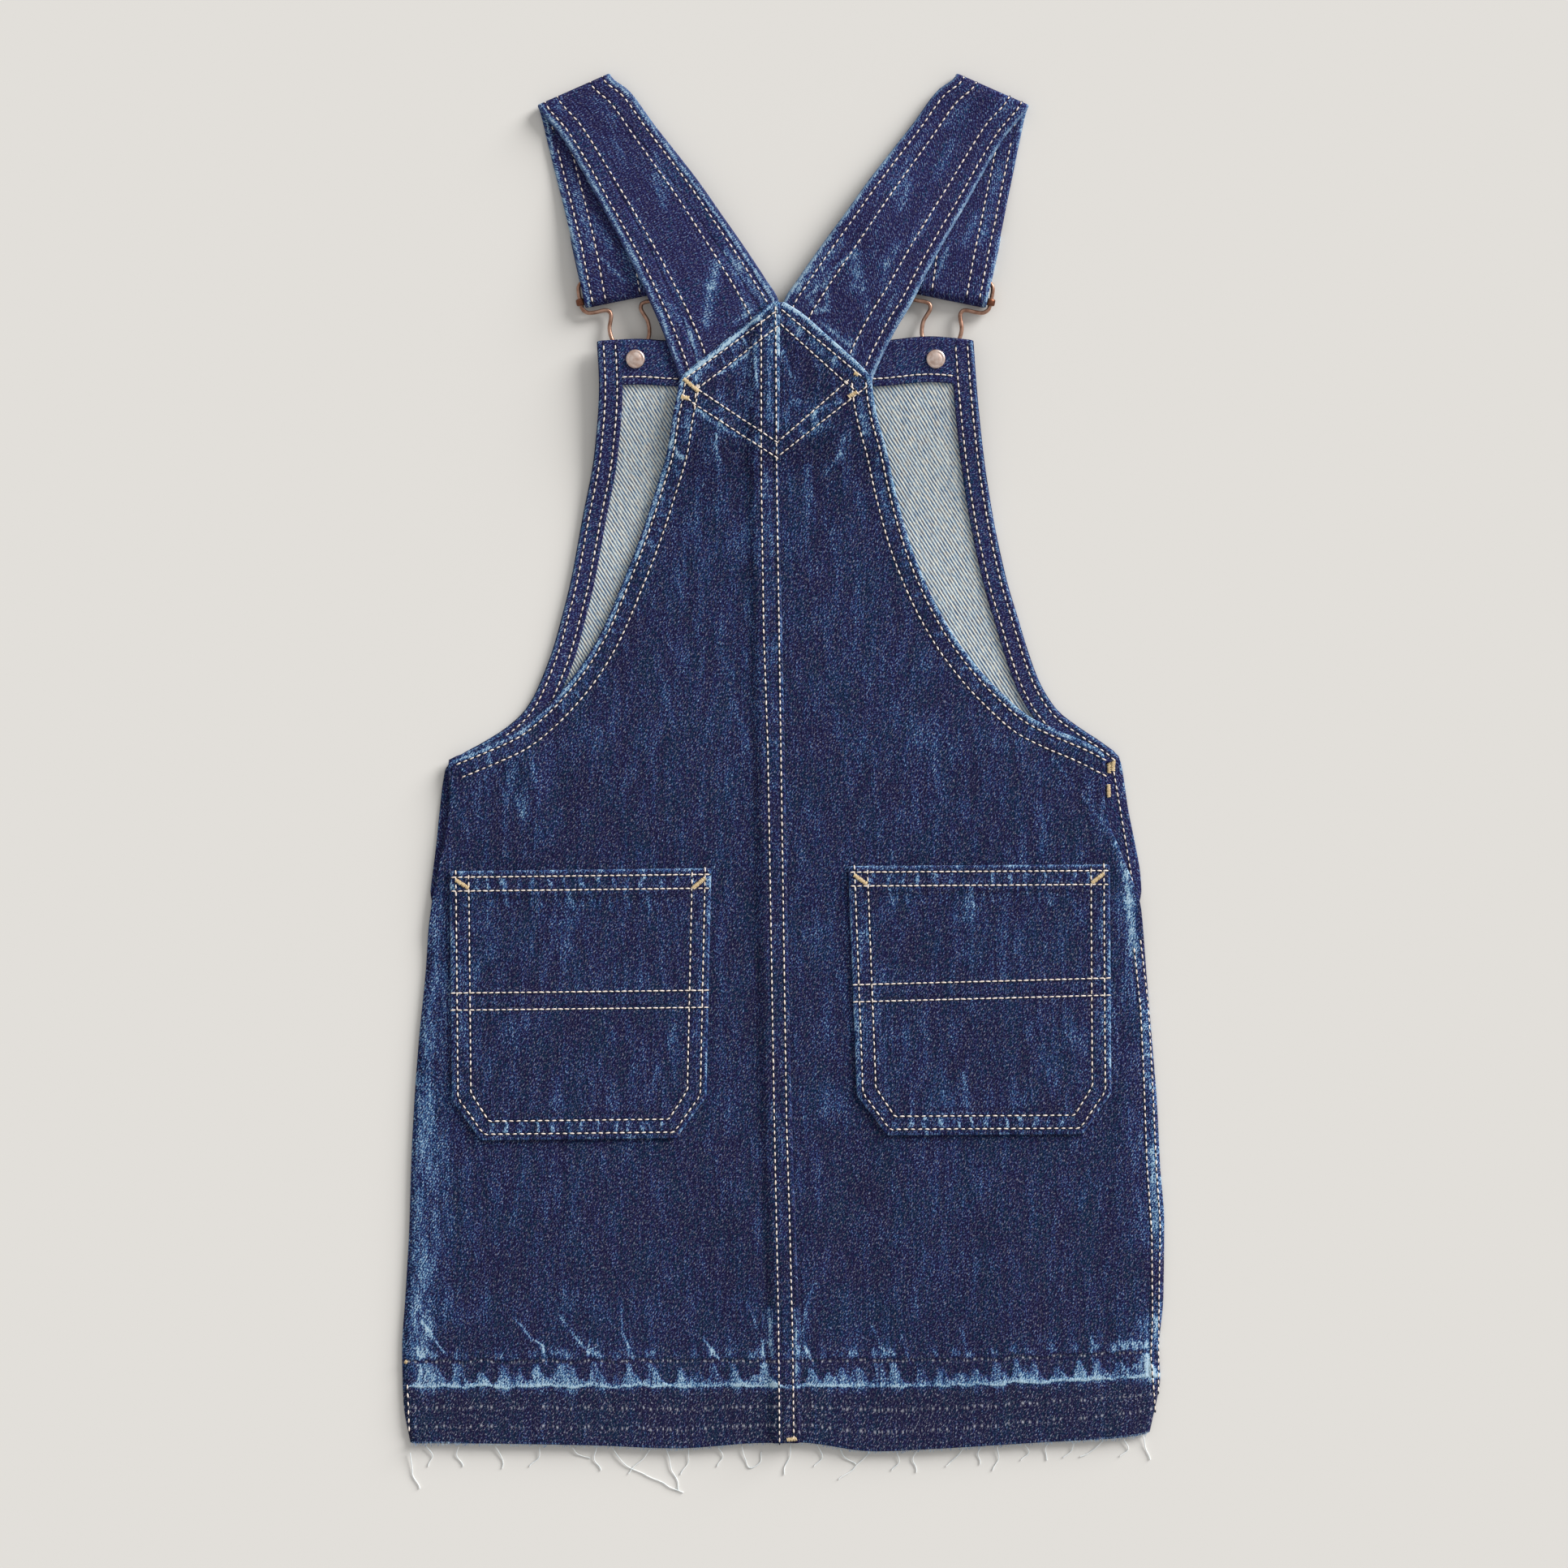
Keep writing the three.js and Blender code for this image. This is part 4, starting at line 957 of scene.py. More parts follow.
    # dye that leans to purple here and to teal there, greyer in the fresh band, and white weft over it
    patches = n.swing(n.stretch(warp, 26.0, 12.0, 0.0, 2.0), 0.55)
    dye = n.plus(n.noise(n.stretch(mm, 2.2, 1.5, 0.0, 9.0), 1.0, 1.0), patches)
    lean = n.step(dye, finish.lean - 0.1, finish.lean + 0.1)
    colour = n.mix(finish.tint, colour, n.mix(lean, "#352c60", "#16486e"))
    colour = n.mix(n.times(fresh, 0.06), colour, "#2c2a3c")
    white = n.times(fleck, n.fuse(fresh, 0.2, finish.fleck))
    white = n.plus(white, n.times(n.math("MAXIMUM", grain, 0.0), 0.26))
    colour = n.mix(white, colour, "#a6a8b8")
    colour = n.mix(n.times(marks, patchy, 0.5), colour, "#d2d4de")
    n.tree.links.new(colour, shader.inputs["Base Color"])
    shader.inputs["Roughness"].default_value = 0.9
    shader.inputs["Specular IOR Level"].default_value = 0.05
    shader.inputs["Sheen Weight"].default_value = 0.015
    shader.inputs["Sheen Roughness"].default_value = 0.6
    relief = n.add_up(0.0, (
        (wale, 0.1), (speck, 0.5), (yarn, 0.8), (slub, 0.8), (pucker, 0.9), (groove_and_shade, -0.9), (rope, 1.0),
        (mottle, 1.4), (holes, -0.8),
    ))
    strength = n.step(edge, 0.3, 1.6, 0.15, 0.55)
    bent = n.add("ShaderNodeBump", {"Height": relief, "Distance": 0.0007, "Strength": strength})
    n.tree.links.new(bent.outputs[0], shader.inputs["Normal"])
    return material


def twill_reverse() -> Material:
    """The pale inside of the twill: cream weft ribs with thin blue and navy lines between them."""
    material, n, shader = new_material("denim_reverse")
    mm = n.millimetres("weave")
    parts = n.add("ShaderNodeSeparateXYZ", {0: mm})
    wander = n.swing(n.stretch(mm, 9.0, 2.5), 0.5)
    line = n.math("SINE", n.times(n.plus(parts.outputs["Y"], wander), 2 * math.pi / 1.5))
    dash = n.swing(n.stretch(mm, 3.4, 0.75), 1.0, 1.0)
    grit = n.swing(n.stretch(mm, 1.1, 0.8, 0.0, 3.0), 1.0, 0.0)
    streak = n.swing(n.stretch(n.millimetres("grain"), 18.0, 2.4), 1.0, 2.0)
    cloud = n.swing(n.stretch(mm, 26.0, 16.0), 1.0, 2.0)
    tone = n.add_up(0.58, ((line, 0.5), (dash, 1.1), (grit, 0.6), (streak, 0.5), (cloud, 0.2)))
    stops = [(0.0, "#3c466a"), (0.26, "#6b7a94"), (0.5, "#9da9b0"), (0.72, "#c3c8c6"), (1.0, "#e6e6dc")]
    colour = n.ramp(n.math("ADD", tone, 0.0, clamp=True), stops)
    patch = n.step(n.noise(n.stretch(mm, 4.0, 1.2, 0.0, 9.0), 1.0, 1.0), 0.44, 0.64)
    tint = n.mix(patch, "#7fb4d2", "#d9c9a4")
    n.tree.links.new(n.mix(0.16, colour, tint), shader.inputs["Base Color"])
    shader.inputs["Roughness"].default_value = 0.92
    shader.inputs["Specular IOR Level"].default_value = 0.1
    relief = n.plus(line, n.times(dash, 1.2))
    bent = n.add("ShaderNodeBump", {"Height": relief, "Distance": 0.00015, "Strength": 0.6})
    n.tree.links.new(bent.outputs[0], shader.inputs["Normal"])
    return material


def plain(
    name: str, code: str, roughness: float, metallic: float = 0.0, vary: float = 0.0, dark: str = ""
) -> Material:
    """A material of one colour, or of two in soft patches."""
    material, n, shader = new_material(name)
    if dark:
        spot = n.add("ShaderNodeTexCoord").outputs["Object"]
        patch = n.noise(spot, vary, 3.0, 0.6)
        n.tree.links.new(n.ramp(patch, [(0.35, dark), (0.62, code)]), shader.inputs["Base Color"])
    else:
        shader.inputs["Base Color"].default_value = rgb(code)
    shader.inputs["Roughness"].default_value = roughness
    shader.inputs["Metallic"].default_value = metallic
    return material


class Palette:
    """All of the dress's materials."""

    def __init__(self) -> None:
        """Makes each material once."""
        indigo = (
            (0.0, "#060926"), (0.18, "#10163e"), (0.32, "#1c2957"), (0.46, "#294577"), (0.6, "#48719c"),
            (0.78, "#80a8c6"), (1.0, "#b9d6e6"),
        )
        # the body: worn and clouded
        self.denim = washed_denim("washed_denim", DenimFinish(
            indigo, base=0.07, wale_mm=1.06, fleck=0.4, mottle=1.0, wear=0.88, lean=0.54, tint=0.2,
        ))
        # turned edges: hidden from the wash, so even and dark
        self.binding = washed_denim("denim_turned_edge", DenimFinish(
            indigo, base=0.15, wale_mm=1.06, fleck=0.4, mottle=0.3, wear=0.8, lean=0.62, tint=0.34,
        ))
        # straps: even, with strong whiskers
        self.strap = washed_denim("strap_denim", DenimFinish(
            indigo, base=0.145, wale_mm=1.06, fleck=0.3, mottle=0.34, wear=1.2, lean=0.66, tint=0.34,
        ))
        # the pale inside of the cloth
        self.reverse = twill_reverse()
        # sewing thread: warm cream, matt
        self.thread = plain("cream_thread", "#f3eae0", 0.8, 0.0, 900.0, "#dccaba")
        # bartack thread: golden
        self.gold = plain("gold_thread", "#e3cfa8", 0.75, 0.0, 900.0, "#c9ad80")
        # weft yarn that hangs loose: bleached, fine
        self.loose = plain("loose_yarn", "#f6f8f7", 0.85, 0.0, 300.0, "#dde4e6")
        # painted shade: the dark inside a needle hole, laid as a flat blot
        self.hole = plain("needle_hole", "#12142a", 0.95)
        # fluff of the raw hem: pale blue to white
        self.fray = plain("frayed_yarn", "#b4cbdc", 0.9, 0.0, 420.0, "#47699a")
        # antique copper plating: brushed wire, paler worn caps, darker bars
        self.copper = plain("antique_copper", "#bd9682", 0.36, 0.85, 240.0, "#8a6250")
        self.cap = plain("worn_copper_cap", "#e6d2c8", 0.34, 0.75, 300.0, "#c4a596")
        self.dark_copper = plain("dark_copper", "#82543f", 0.42, 0.85, 300.0, "#5f3829")


@dataclass
class Shell:
    """A closed thin piece of cloth about a grid of points on its middle surface.

    Attributes:
        name: the piece's name.
        mid: rows x columns x 3, in millimetres.
        thick: its thickness.
        weave: weave coordinates of the upper face, in metres.
        fields: named numbers at each point of the grid.
        materials: for the upper face, the under face and the rim.
        weave_under: the same for the under face, where it differs.
        pick: material number for each upper cell, where it varies.
        grain: coordinates along and across the warp, in metres, where it isn't upright.
    """

    name: str
    mid: Array
    thick: float
    weave: Array
    fields: dict
    materials: list
    rim: int = 0
    weave_under: Optional[Array] = None
    pick: Optional[Array] = None
    grain: Optional[Array] = None
    object: Optional[Piece] = field(default=None, init=False)

    def build(self) -> "Shell":
        """Writes the mesh.

        Returns:
            The shell itself, with its new object.
        """
        rows, cols = self.mid.shape[:2]
        across = np.gradient(self.mid, axis=1)
        along = np.gradient(self.mid, axis=0)
        up = np.cross(across, along)
        up /= np.maximum(np.linalg.norm(up, axis=2, keepdims=True), 1e-9)
        half = self.thick / 2
        index = np.arange(rows * cols).reshape(rows, cols)
        loop = np.concatenate([index[0, :], index[1:, -1], index[-1, -2::-1], index[-2:0:-1, 0]])
        flat_mid = self.mid.reshape(-1, 3)
        flat_up = up.reshape(-1, 3)
        path = flat_mid[loop]
        run = np.roll(path, -1, axis=0) - np.roll(path, 1, axis=0)
        out = np.cross(run, flat_up[loop])
        out /= np.maximum(np.linalg.norm(out, axis=1, keepdims=True), 1e-9)
        points = [flat_mid + half * flat_up, flat_mid - half * flat_up]
        ring_angles = np.radians([36, 72, 108, 144])
        for angle in ring_angles:
            points.append(path + half * (math.cos(angle) * flat_up[loop] + math.sin(angle) * out))
        count, around = rows * cols, len(loop)
        between = [2 * count + k * around + np.arange(around) for k in range(len(ring_angles))]
        rings = [loop] + between + [loop + count]
        a, b, c, d = index[:-1, :-1], index[:-1, 1:], index[1:, 1:], index[1:, :-1]
        top = np.stack([a, b, c, d], axis=-1).reshape(-1, 4)
        under = top[:, ::-1] + count
        rims = []
        for upper, lower in zip(rings[:-1], rings[1:]):
            rims.append(np.stack([upper, lower, np.roll(lower, -1), np.roll(upper, -1)], axis=1))
        faces = np.concatenate([top, under] + rims)
        verts = np.concatenate(points)
        verts[:, 2] = np.maximum(verts[:, 2], 0.0)
        mesh = bpy.data.meshes.new(self.name)
        mesh.vertices.add(len(verts))
        mesh.vertices.foreach_set("co", (verts * MM).astype(np.float32).ravel())
        mesh.loops.add(faces.size)
        mesh.loops.foreach_set("vertex_index", faces.astype(np.int32).ravel())
        mesh.polygons.add(len(faces))
        mesh.polygons.foreach_set("loop_start", np.arange(0, faces.size, 4, dtype=np.int32))
        slots = np.zeros(len(faces), np.int32)
        if self.pick is not None:
            slots[:len(top)] = self.pick[:-1, :-1].ravel()
        slots[len(top):2 * len(top)] = 1
        slots[2 * len(top):] = self.rim
        mesh.polygons.foreach_set("material_index", slots)
        mesh.polygons.foreach_set("use_smooth", np.ones(len(faces), bool))
        over = self.weave.reshape(-1, 2)
        below = over if self.weave_under is None else self.weave_under.reshape(-1, 2)
        beside = [over[loop] + half * MM * (0.6 + k) * 0.8 for k in range(len(ring_angles))]
        coords = np.concatenate([over, below] + beside)[faces.ravel()]
        mesh.update(calc_edges=True)
        layer = mesh.uv_layers.new(name="weave")
        layer.data.foreach_set("uv", coords.astype(np.float32).ravel())
        upright = np.stack([self.mid[..., 1], self.mid[..., 0]], axis=2) * MM
        grain = (upright if self.grain is None else self.grain).reshape(-1, 2)
        whole = np.concatenate([grain, grain] + [grain[loop]] * len(ring_angles))[faces.ravel()]
        layer = mesh.uv_layers.new(name="grain")
        layer.data.foreach_set("uv", whole.astype(np.float32).ravel())
        for key, grid in self.fields.items():
            values = np.broadcast_to(grid, (rows, cols)).ravel()
            whole = np.concatenate([values, values] + [values[loop]] * len(ring_angles))
            mesh.attributes.new(key, "FLOAT", "POINT").data.foreach_set("value", whole.astype(np.float32))
        for material in self.materials:
            mesh.materials.append(material)
        mesh.validate()
        self.object = bpy.data.objects.new(self.name, mesh)
        bpy.context.scene.collection.objects.link(self.object)
        return self


def cells(count: int, ends: float = 0.1) -> Array:
    """Places from 0 to 1 that lie closer together near both ends."""
    u = np.linspace(0, 1, count + 1)
    return u - ends * np.sin(2 * math.pi * u)


def row_heights(edges: Sequence[Callable], low: float, high: float, step: float) -> Array:
    """Heights of a panel's rows, closer together where an edge runs nearly level."""
    y = np.linspace(low, high, 1500)
    run = np.abs(np.diff(y))
    for edge in edges:
        run = np.maximum(run, 0.6 * np.abs(np.diff(edge(y))))
    gone = np.concatenate([[0], np.cumsum(run)])
    return np.interp(np.linspace(0, gone[-1], int(gone[-1] / step) + 1), gone, y)


def seam_fields(x: Array, y: Array, edges: Sequence, bands: Sequence) -> dict:
    """What the denim reads about edges and seams at each point.

    Args:
        x, y: the points.
        edges: pairs of how little an edge is worn, as millimetres further off, and its run of points.
        bands: pairs of how strongly a double row puckers and the run of points along its middle.

    Returns:
        The distance to the nearest edge and band, the length along that band and its pucker.
    """
    edge = np.full(x.shape, 40.0)
    for spared, points in edges:
        edge = np.minimum(edge, nearest(x, y, points)[0] + spared)
    band = np.full(x.shape, 40.0)
    along = np.zeros(x.shape)
    gather = np.zeros(x.shape)
    for strength, points in bands:
        away, gone = nearest(x, y, points)
        along = np.where(away < band, gone, along)
        gather = np.where(away < band, strength, gather)
        band = np.minimum(band, away)
    hem = np.full(x.shape, NO_HEM)
    return {"edge": edge, "band": band, "along": along, "gather": gather, "across": x, "hem": hem}


def outline(edge: Curve, low: float, high: float, step: float = 2.0) -> list:
    """An edge of a panel as a run of points from low to high."""
    y = row_heights([edge], low, high, step)
    return list(zip(edge(y), y))


@dataclass
class BackHalf:
    """One half of the back, from its side edge to the lapped centre seam."""

    side: Side
    columns: int = 92
    step: float = 2.3

    @property
    def edge(self) -> Curve:
        """Its side edge."""
        return back_left if self.side is Side.LEFT else back_right

    def middle(self, x: Array, y: Array, lap: Array, from_side: Array) -> Array:
        """Height of its middle surface."""
        height = back_base(x, y) + CLOTH / 2
        low = CLOTH / 2 + GAP
        wrapped = ease(-80, -102, y)
        edge = height * (1 - wrapped) + low * wrapped
        t = np.clip(1 - from_side / ROLL, 0, 1)
        rolled = edge + (height - edge) * np.sqrt(1 - t * t)
        over = (CLOTH + GAP + SLACK) * ease(LAP + 7, LAP + 1.4, lap - x) if self.side is Side.LEFT else 0
        return rolled + over

    def edges(self) -> list:
        """Its bare folded edges: the armhole with the yoke, and for the left half the lap."""
        # on the left half the pale worn edge lies further in, where the key still lights it: real wear,
        # shifted as painted light against the shade on that side
        spared = -1.6 if self.side is Side.LEFT else -0.8
        found = [(spared, outline(self.edge, 0, 224.8)), (1.2, outline(self.edge, -66, 0))]
        if self.side is Side.LEFT:
            lap_y = np.linspace(HEM_LINE, 224, 60)
            found.append((1.7, list(zip(back_lap(lap_y), lap_y))))
        return found

    def armhole(self) -> list:
        """The armhole's edge from the yoke's corner to the side."""
        return outline(self.edge, 1.5, 185)

    def armhole_row(self, inset: float) -> list:
        """A stitch row along the armhole that runs on to the side seam."""
        edge = [(x, y) for x, y in self.armhole() if y > 5]
        (x0, y0), (x1, y1) = edge[0], edge[1]
        on = 9 / math.hypot(x1 - x0, y1 - y0)
        return offset([(x0 + (x0 - x1) * on, y0 + (y0 - y1) * on), *edge], self.side.value * inset)

    def build(self, palette: Palette) -> Shell:
        """Builds its cloth.

        Returns:
            The shell.
        """
        sign = self.side.value
        heights = row_heights([self.edge], HEM_LINE, 224.8, self.step)
        y = np.sort(np.concatenate([heights, np.linspace(-309.6, -294.3, 12)]))[:, None]
        lap = back_lap(y)
        width = (lap - back_left(y)) if self.side is Side.LEFT else (back_right(y) - lap)
        underlap = 0 if self.side is Side.LEFT else np.minimum(LAP, 0.8 * (lap - back_left(y)))
        from_side = cells(self.columns)[None, :] * (width + underlap - CLOTH / 2)
        x = self.edge(y) - sign * (from_side + CLOTH / 2)
        y = np.broadcast_to(y, x.shape)
        z = self.middle(x, y, lap, from_side)
        placed_y = y + hem_shift(x, y)
        lap_y = np.linspace(-334, 222, 50)
        beside_armhole = offset(self.armhole(), sign * (EDGE_ROW + 3.4))
        bands = [(0.45, beside_armhole), (0.3, list(zip(back_lap(lap_y) - 5.2, lap_y)))]
        bands += [(0.5, p.points) for p in YOKE_BANDS]
        if self.side is Side.RIGHT:
            pairs = zip(SIDE_SEAM_ROWS[0].points, SIDE_SEAM_ROWS[1].points)
            bands.append((0.4, [((a[0] + b[0]) / 2, (a[1] + b[1]) / 2) for a, b in pairs]))
        fields = seam_fields(x, y, self.edges(), bands)
        raw = placed_y - (HEM_LINE - hem_drop(x))
        fields["edge"] = np.minimum(fields["edge"], raw + 0.9)
        fields["hem"] = y - hem_fold(x)
        fields.update(tongue_fields(x, fields["hem"]))
        fields.update(worn_fields(x, y, BACK_STREAKS))
        mid = np.stack([x, placed_y, z], axis=2)
        weave = weave_map(x, y, 60)
        if self.side is Side.RIGHT:
            mid, weave = mid[:, ::-1], weave[:, ::-1]
            fields = {k: v[:, ::-1] for k, v in fields.items()}
        faces = [palette.denim, palette.reverse]
        return Shell(f"back_{self.side.word}_cloth", mid, CLOTH, weave, fields, faces).build()


@dataclass
class Front:
    """The front in one piece, skirt and bib, with its outer face down."""

    columns: int = 84
    step: float = 3.0

    def build(self, palette: Palette) -> Shell:
        """Builds its cloth, whose inside shows beside the back."""
        y = row_heights([front_left, front_right], HEM_LINE + 1, 206, self.step)[:, None]
        x = front_left(y) + (front_right(y) - front_left(y)) * cells(self.columns)[None, :]
        y = np.broadcast_to(y, x.shape)
        z = front_base(x, y) + CLOTH / 2
        placed_y = y + hem_shift(x, y) + bib_arch(x, y)
        edges = [(1.3, outline(front_left, -66, 200)), (1.3, outline(front_right, -66, 200))]
        fields = seam_fields(x, y, edges, [])
        fields["fade"] = np.zeros(x.shape)
        raw = placed_y - (HEM_LINE - hem_drop(x))
        fields["edge"] = np.minimum(fields["edge"], raw + 0.2)
        placket = ((y < 10) & (np.abs(x) > 120)).astype(np.int32) * 2
        return Shell(
            "front_cloth", np.stack([x, placed_y, z], axis=2), CLOTH, weave_map(x, y, 123), fields,
            [palette.reverse, palette.denim, palette.binding], 1, weave_map(-x, y, 60), placket,
        ).build()


@dataclass
class BibFacing:
    """The facing inside the bib's top."""

    columns: int = 110

    def build(self, palette: Palette) -> Shell:
        """Builds its cloth."""
        y = np.linspace(184.6, 205.4, 15)[:, None]
        left, right = front_left(y) + 10.8, front_right(y) - 10.8
        x = left + (right - left) * np.linspace(0, 1, self.columns + 1)[None, :]
        y = np.broadcast_to(y, x.shape)
        placed_y = y + bib_arch(x, y)
        z = front_base(x, y) + CLOTH + GAP + FACING / 2
        top = [(a, 206.2) for a in np.linspace(-80, 84, 20)]
        foot = [(a, FACING_FOOT) for a in np.linspace(-80, 84, 20)]
        fields = seam_fields(x, y, [(0.9, top)], [(0.1, foot)])
        fields["band"] = fields["band"] + NEEDLE_GAUGE / 2
        fields["fade"] = np.zeros(x.shape)
        return Shell(
            "bib_facing_cloth", np.stack([x, placed_y, z], axis=2), FACING, weave_map(x, y, 40), fields,
            [palette.binding, palette.reverse],
        ).build()


@dataclass
class ArmholeHem:
    """The turned hem along one of the front's armholes, on the inside."""

    side: Side
    width: float = 10.0
    inset: float = 0.5

    def build(self, palette: Palette) -> Shell:
        """Builds its cloth."""
        sign = self.side.value
        edge = front_left if self.side is Side.LEFT else front_right
        y0 = row_heights([edge], 2, 206, 2.0)[:, None]
        slope = (edge(y0 + 0.5) - edge(y0 - 0.5)) * sign
        length = np.hypot(1, slope)
        d = self.inset + self.width * np.linspace(0, 1, 9)[None, :]
        x = edge(y0) - sign * d / length
        y = np.where(y0 > 200, y0, y0 + d * slope / length)
        z = front_base(x, y) + CLOTH + GAP + FACING / 2
        placed_y = y + bib_arch(x, y)
        run = outline(edge, 2, 206)
        away, along = nearest(x, y, run)
        fields = {
            "edge": away + 0.3, "band": np.abs(away - 5.4), "along": along, "gather": np.full(x.shape, 0.2),
            "across": x, "hem": np.full(x.shape, NO_HEM), "fade": np.zeros(x.shape),
        }
        mid = np.stack([x, placed_y, z], axis=2)
        weave = weave_map(x, y, 28)
        if self.side is Side.RIGHT:
            mid, weave = mid[:, ::-1], weave[:, ::-1]
            fields = {k: v[:, ::-1] for k, v in fields.items()}
        faces = [palette.binding, palette.reverse]
        return Shell(f"armhole_hem_{self.side.word}_cloth", mid, FACING, weave, fields, faces).build()


@dataclass
class Pocket:
    """A patch pocket that lies on the back."""

    size: PocketSize

    def place(self, across: Array, down: Array) -> tuple[Array, Array]:
        """Where a point of the pocket lies on the back."""
        s = self.size
        return s.x + across + s.lean * down, s.top - down + s.rise * across

    def spot(self, across: float, down: float) -> tuple[float, float]:
        """One point of the pocket on the back."""
        x, y = self.place(across, down)
        return float(x), float(y)

    def half(self, down: Array) -> Array:
        """Half its width, so far down from its top."""
        s = self.size
        straight = s.half_top + (s.half_corner - s.half_top) * np.minimum(1, down / (s.height - s.corner))
        clipped = np.maximum(0, down - (s.height - s.corner)) / s.corner
        return straight + (s.half_foot - straight) * clipped

    def border(self, inset: float) -> list:
        """Its outline from the top left corner down and round to the top right one, moved inwards."""
        s = self.size
        foot, knee = s.height - inset, s.height - s.corner - 0.4 * inset
        corners = [
            (-s.half_top + inset, 0), (-self.half(knee) + inset, knee), (-s.half_foot + 0.4 * inset, foot),
            (s.half_foot - 0.4 * inset, foot), (self.half(knee) - inset, knee), (s.half_top - inset, 0),
        ]
        return [self.spot(a, d) for a, d in corners]

    def across_row(self, down: float, rise: float = 0.0) -> list:
        """A straight line across the pocket."""
        half = self.size.half_top - 1.5
        return [self.spot(a, down - rise * (a + half)) for a in np.linspace(-half, half, 12)]

    def rows(self) -> list:
        """Its rows of stitches."""
        s = self.size
        rows = [self.border(2.4), self.border(8.8)[1:-1], self.across_row(2.4), self.across_row(9.2)]
        rows[1] = [self.spot(8.8 - s.half_top, 2.4), *rows[1], self.spot(s.half_top - 8.8, 2.4)]
        return rows + [self.across_row(s.band_down + d, s.band_rise) for d in (-4.2, 4.2)]

    def build(self, palette: Palette) -> Shell:
        """Builds its cloth."""
        s = self.size
        down = (cells(62, 0.05) * s.height)[::-1][:, None]
        across = self.half(down) * (2 * cells(60, 0.06)[None, :] - 1)
        x, y = self.place(across, np.broadcast_to(down, across.shape))
        sag = 0.9 * bump(down - 10.6, 3.0) * np.cos(across / s.half_top * 1.4)
        z = back_base(x, y) + CLOTH + GAP + 0.1 + CLOTH / 2 + sag
        edges = [(0.8, self.border(0.0)), (0.4, self.across_row(0.0))]
        foot = self.border(5.6)
        # the mouth and foot bands' gather of 0.9 and 1.0 also draws the painted shade line past their inner
        # rows
        bands = [(0.3, foot[:3]), (1.0, foot[2:4]), (0.3, foot[3:]), (0.9, self.across_row(5.8))]
        bands += [(0.1, self.across_row(s.band_down, s.band_rise))]
        fields = seam_fields(x, y, edges, bands)
        fields.update(worn_fields(across, -np.broadcast_to(down, across.shape), POCKET_STREAKS))
        return Shell(
            f"{s.name}_cloth", np.stack([x, y, z], axis=2), CLOTH, weave_map(x + 300, y, 61), fields,
            [palette.denim, palette.reverse],
        ).build()


def on_buckle(across: Array, up: Array) -> tuple[Array, Array]:
    """Where a point of the left buckle lies, given its distance across and up from the button."""
    sin, cos = math.sin(BUCKLE_TILT), math.cos(BUCKLE_TILT)
    return across * cos - up * sin - BUTTON_HALF_SPACING, across * sin + up * cos + BUTTON_Y


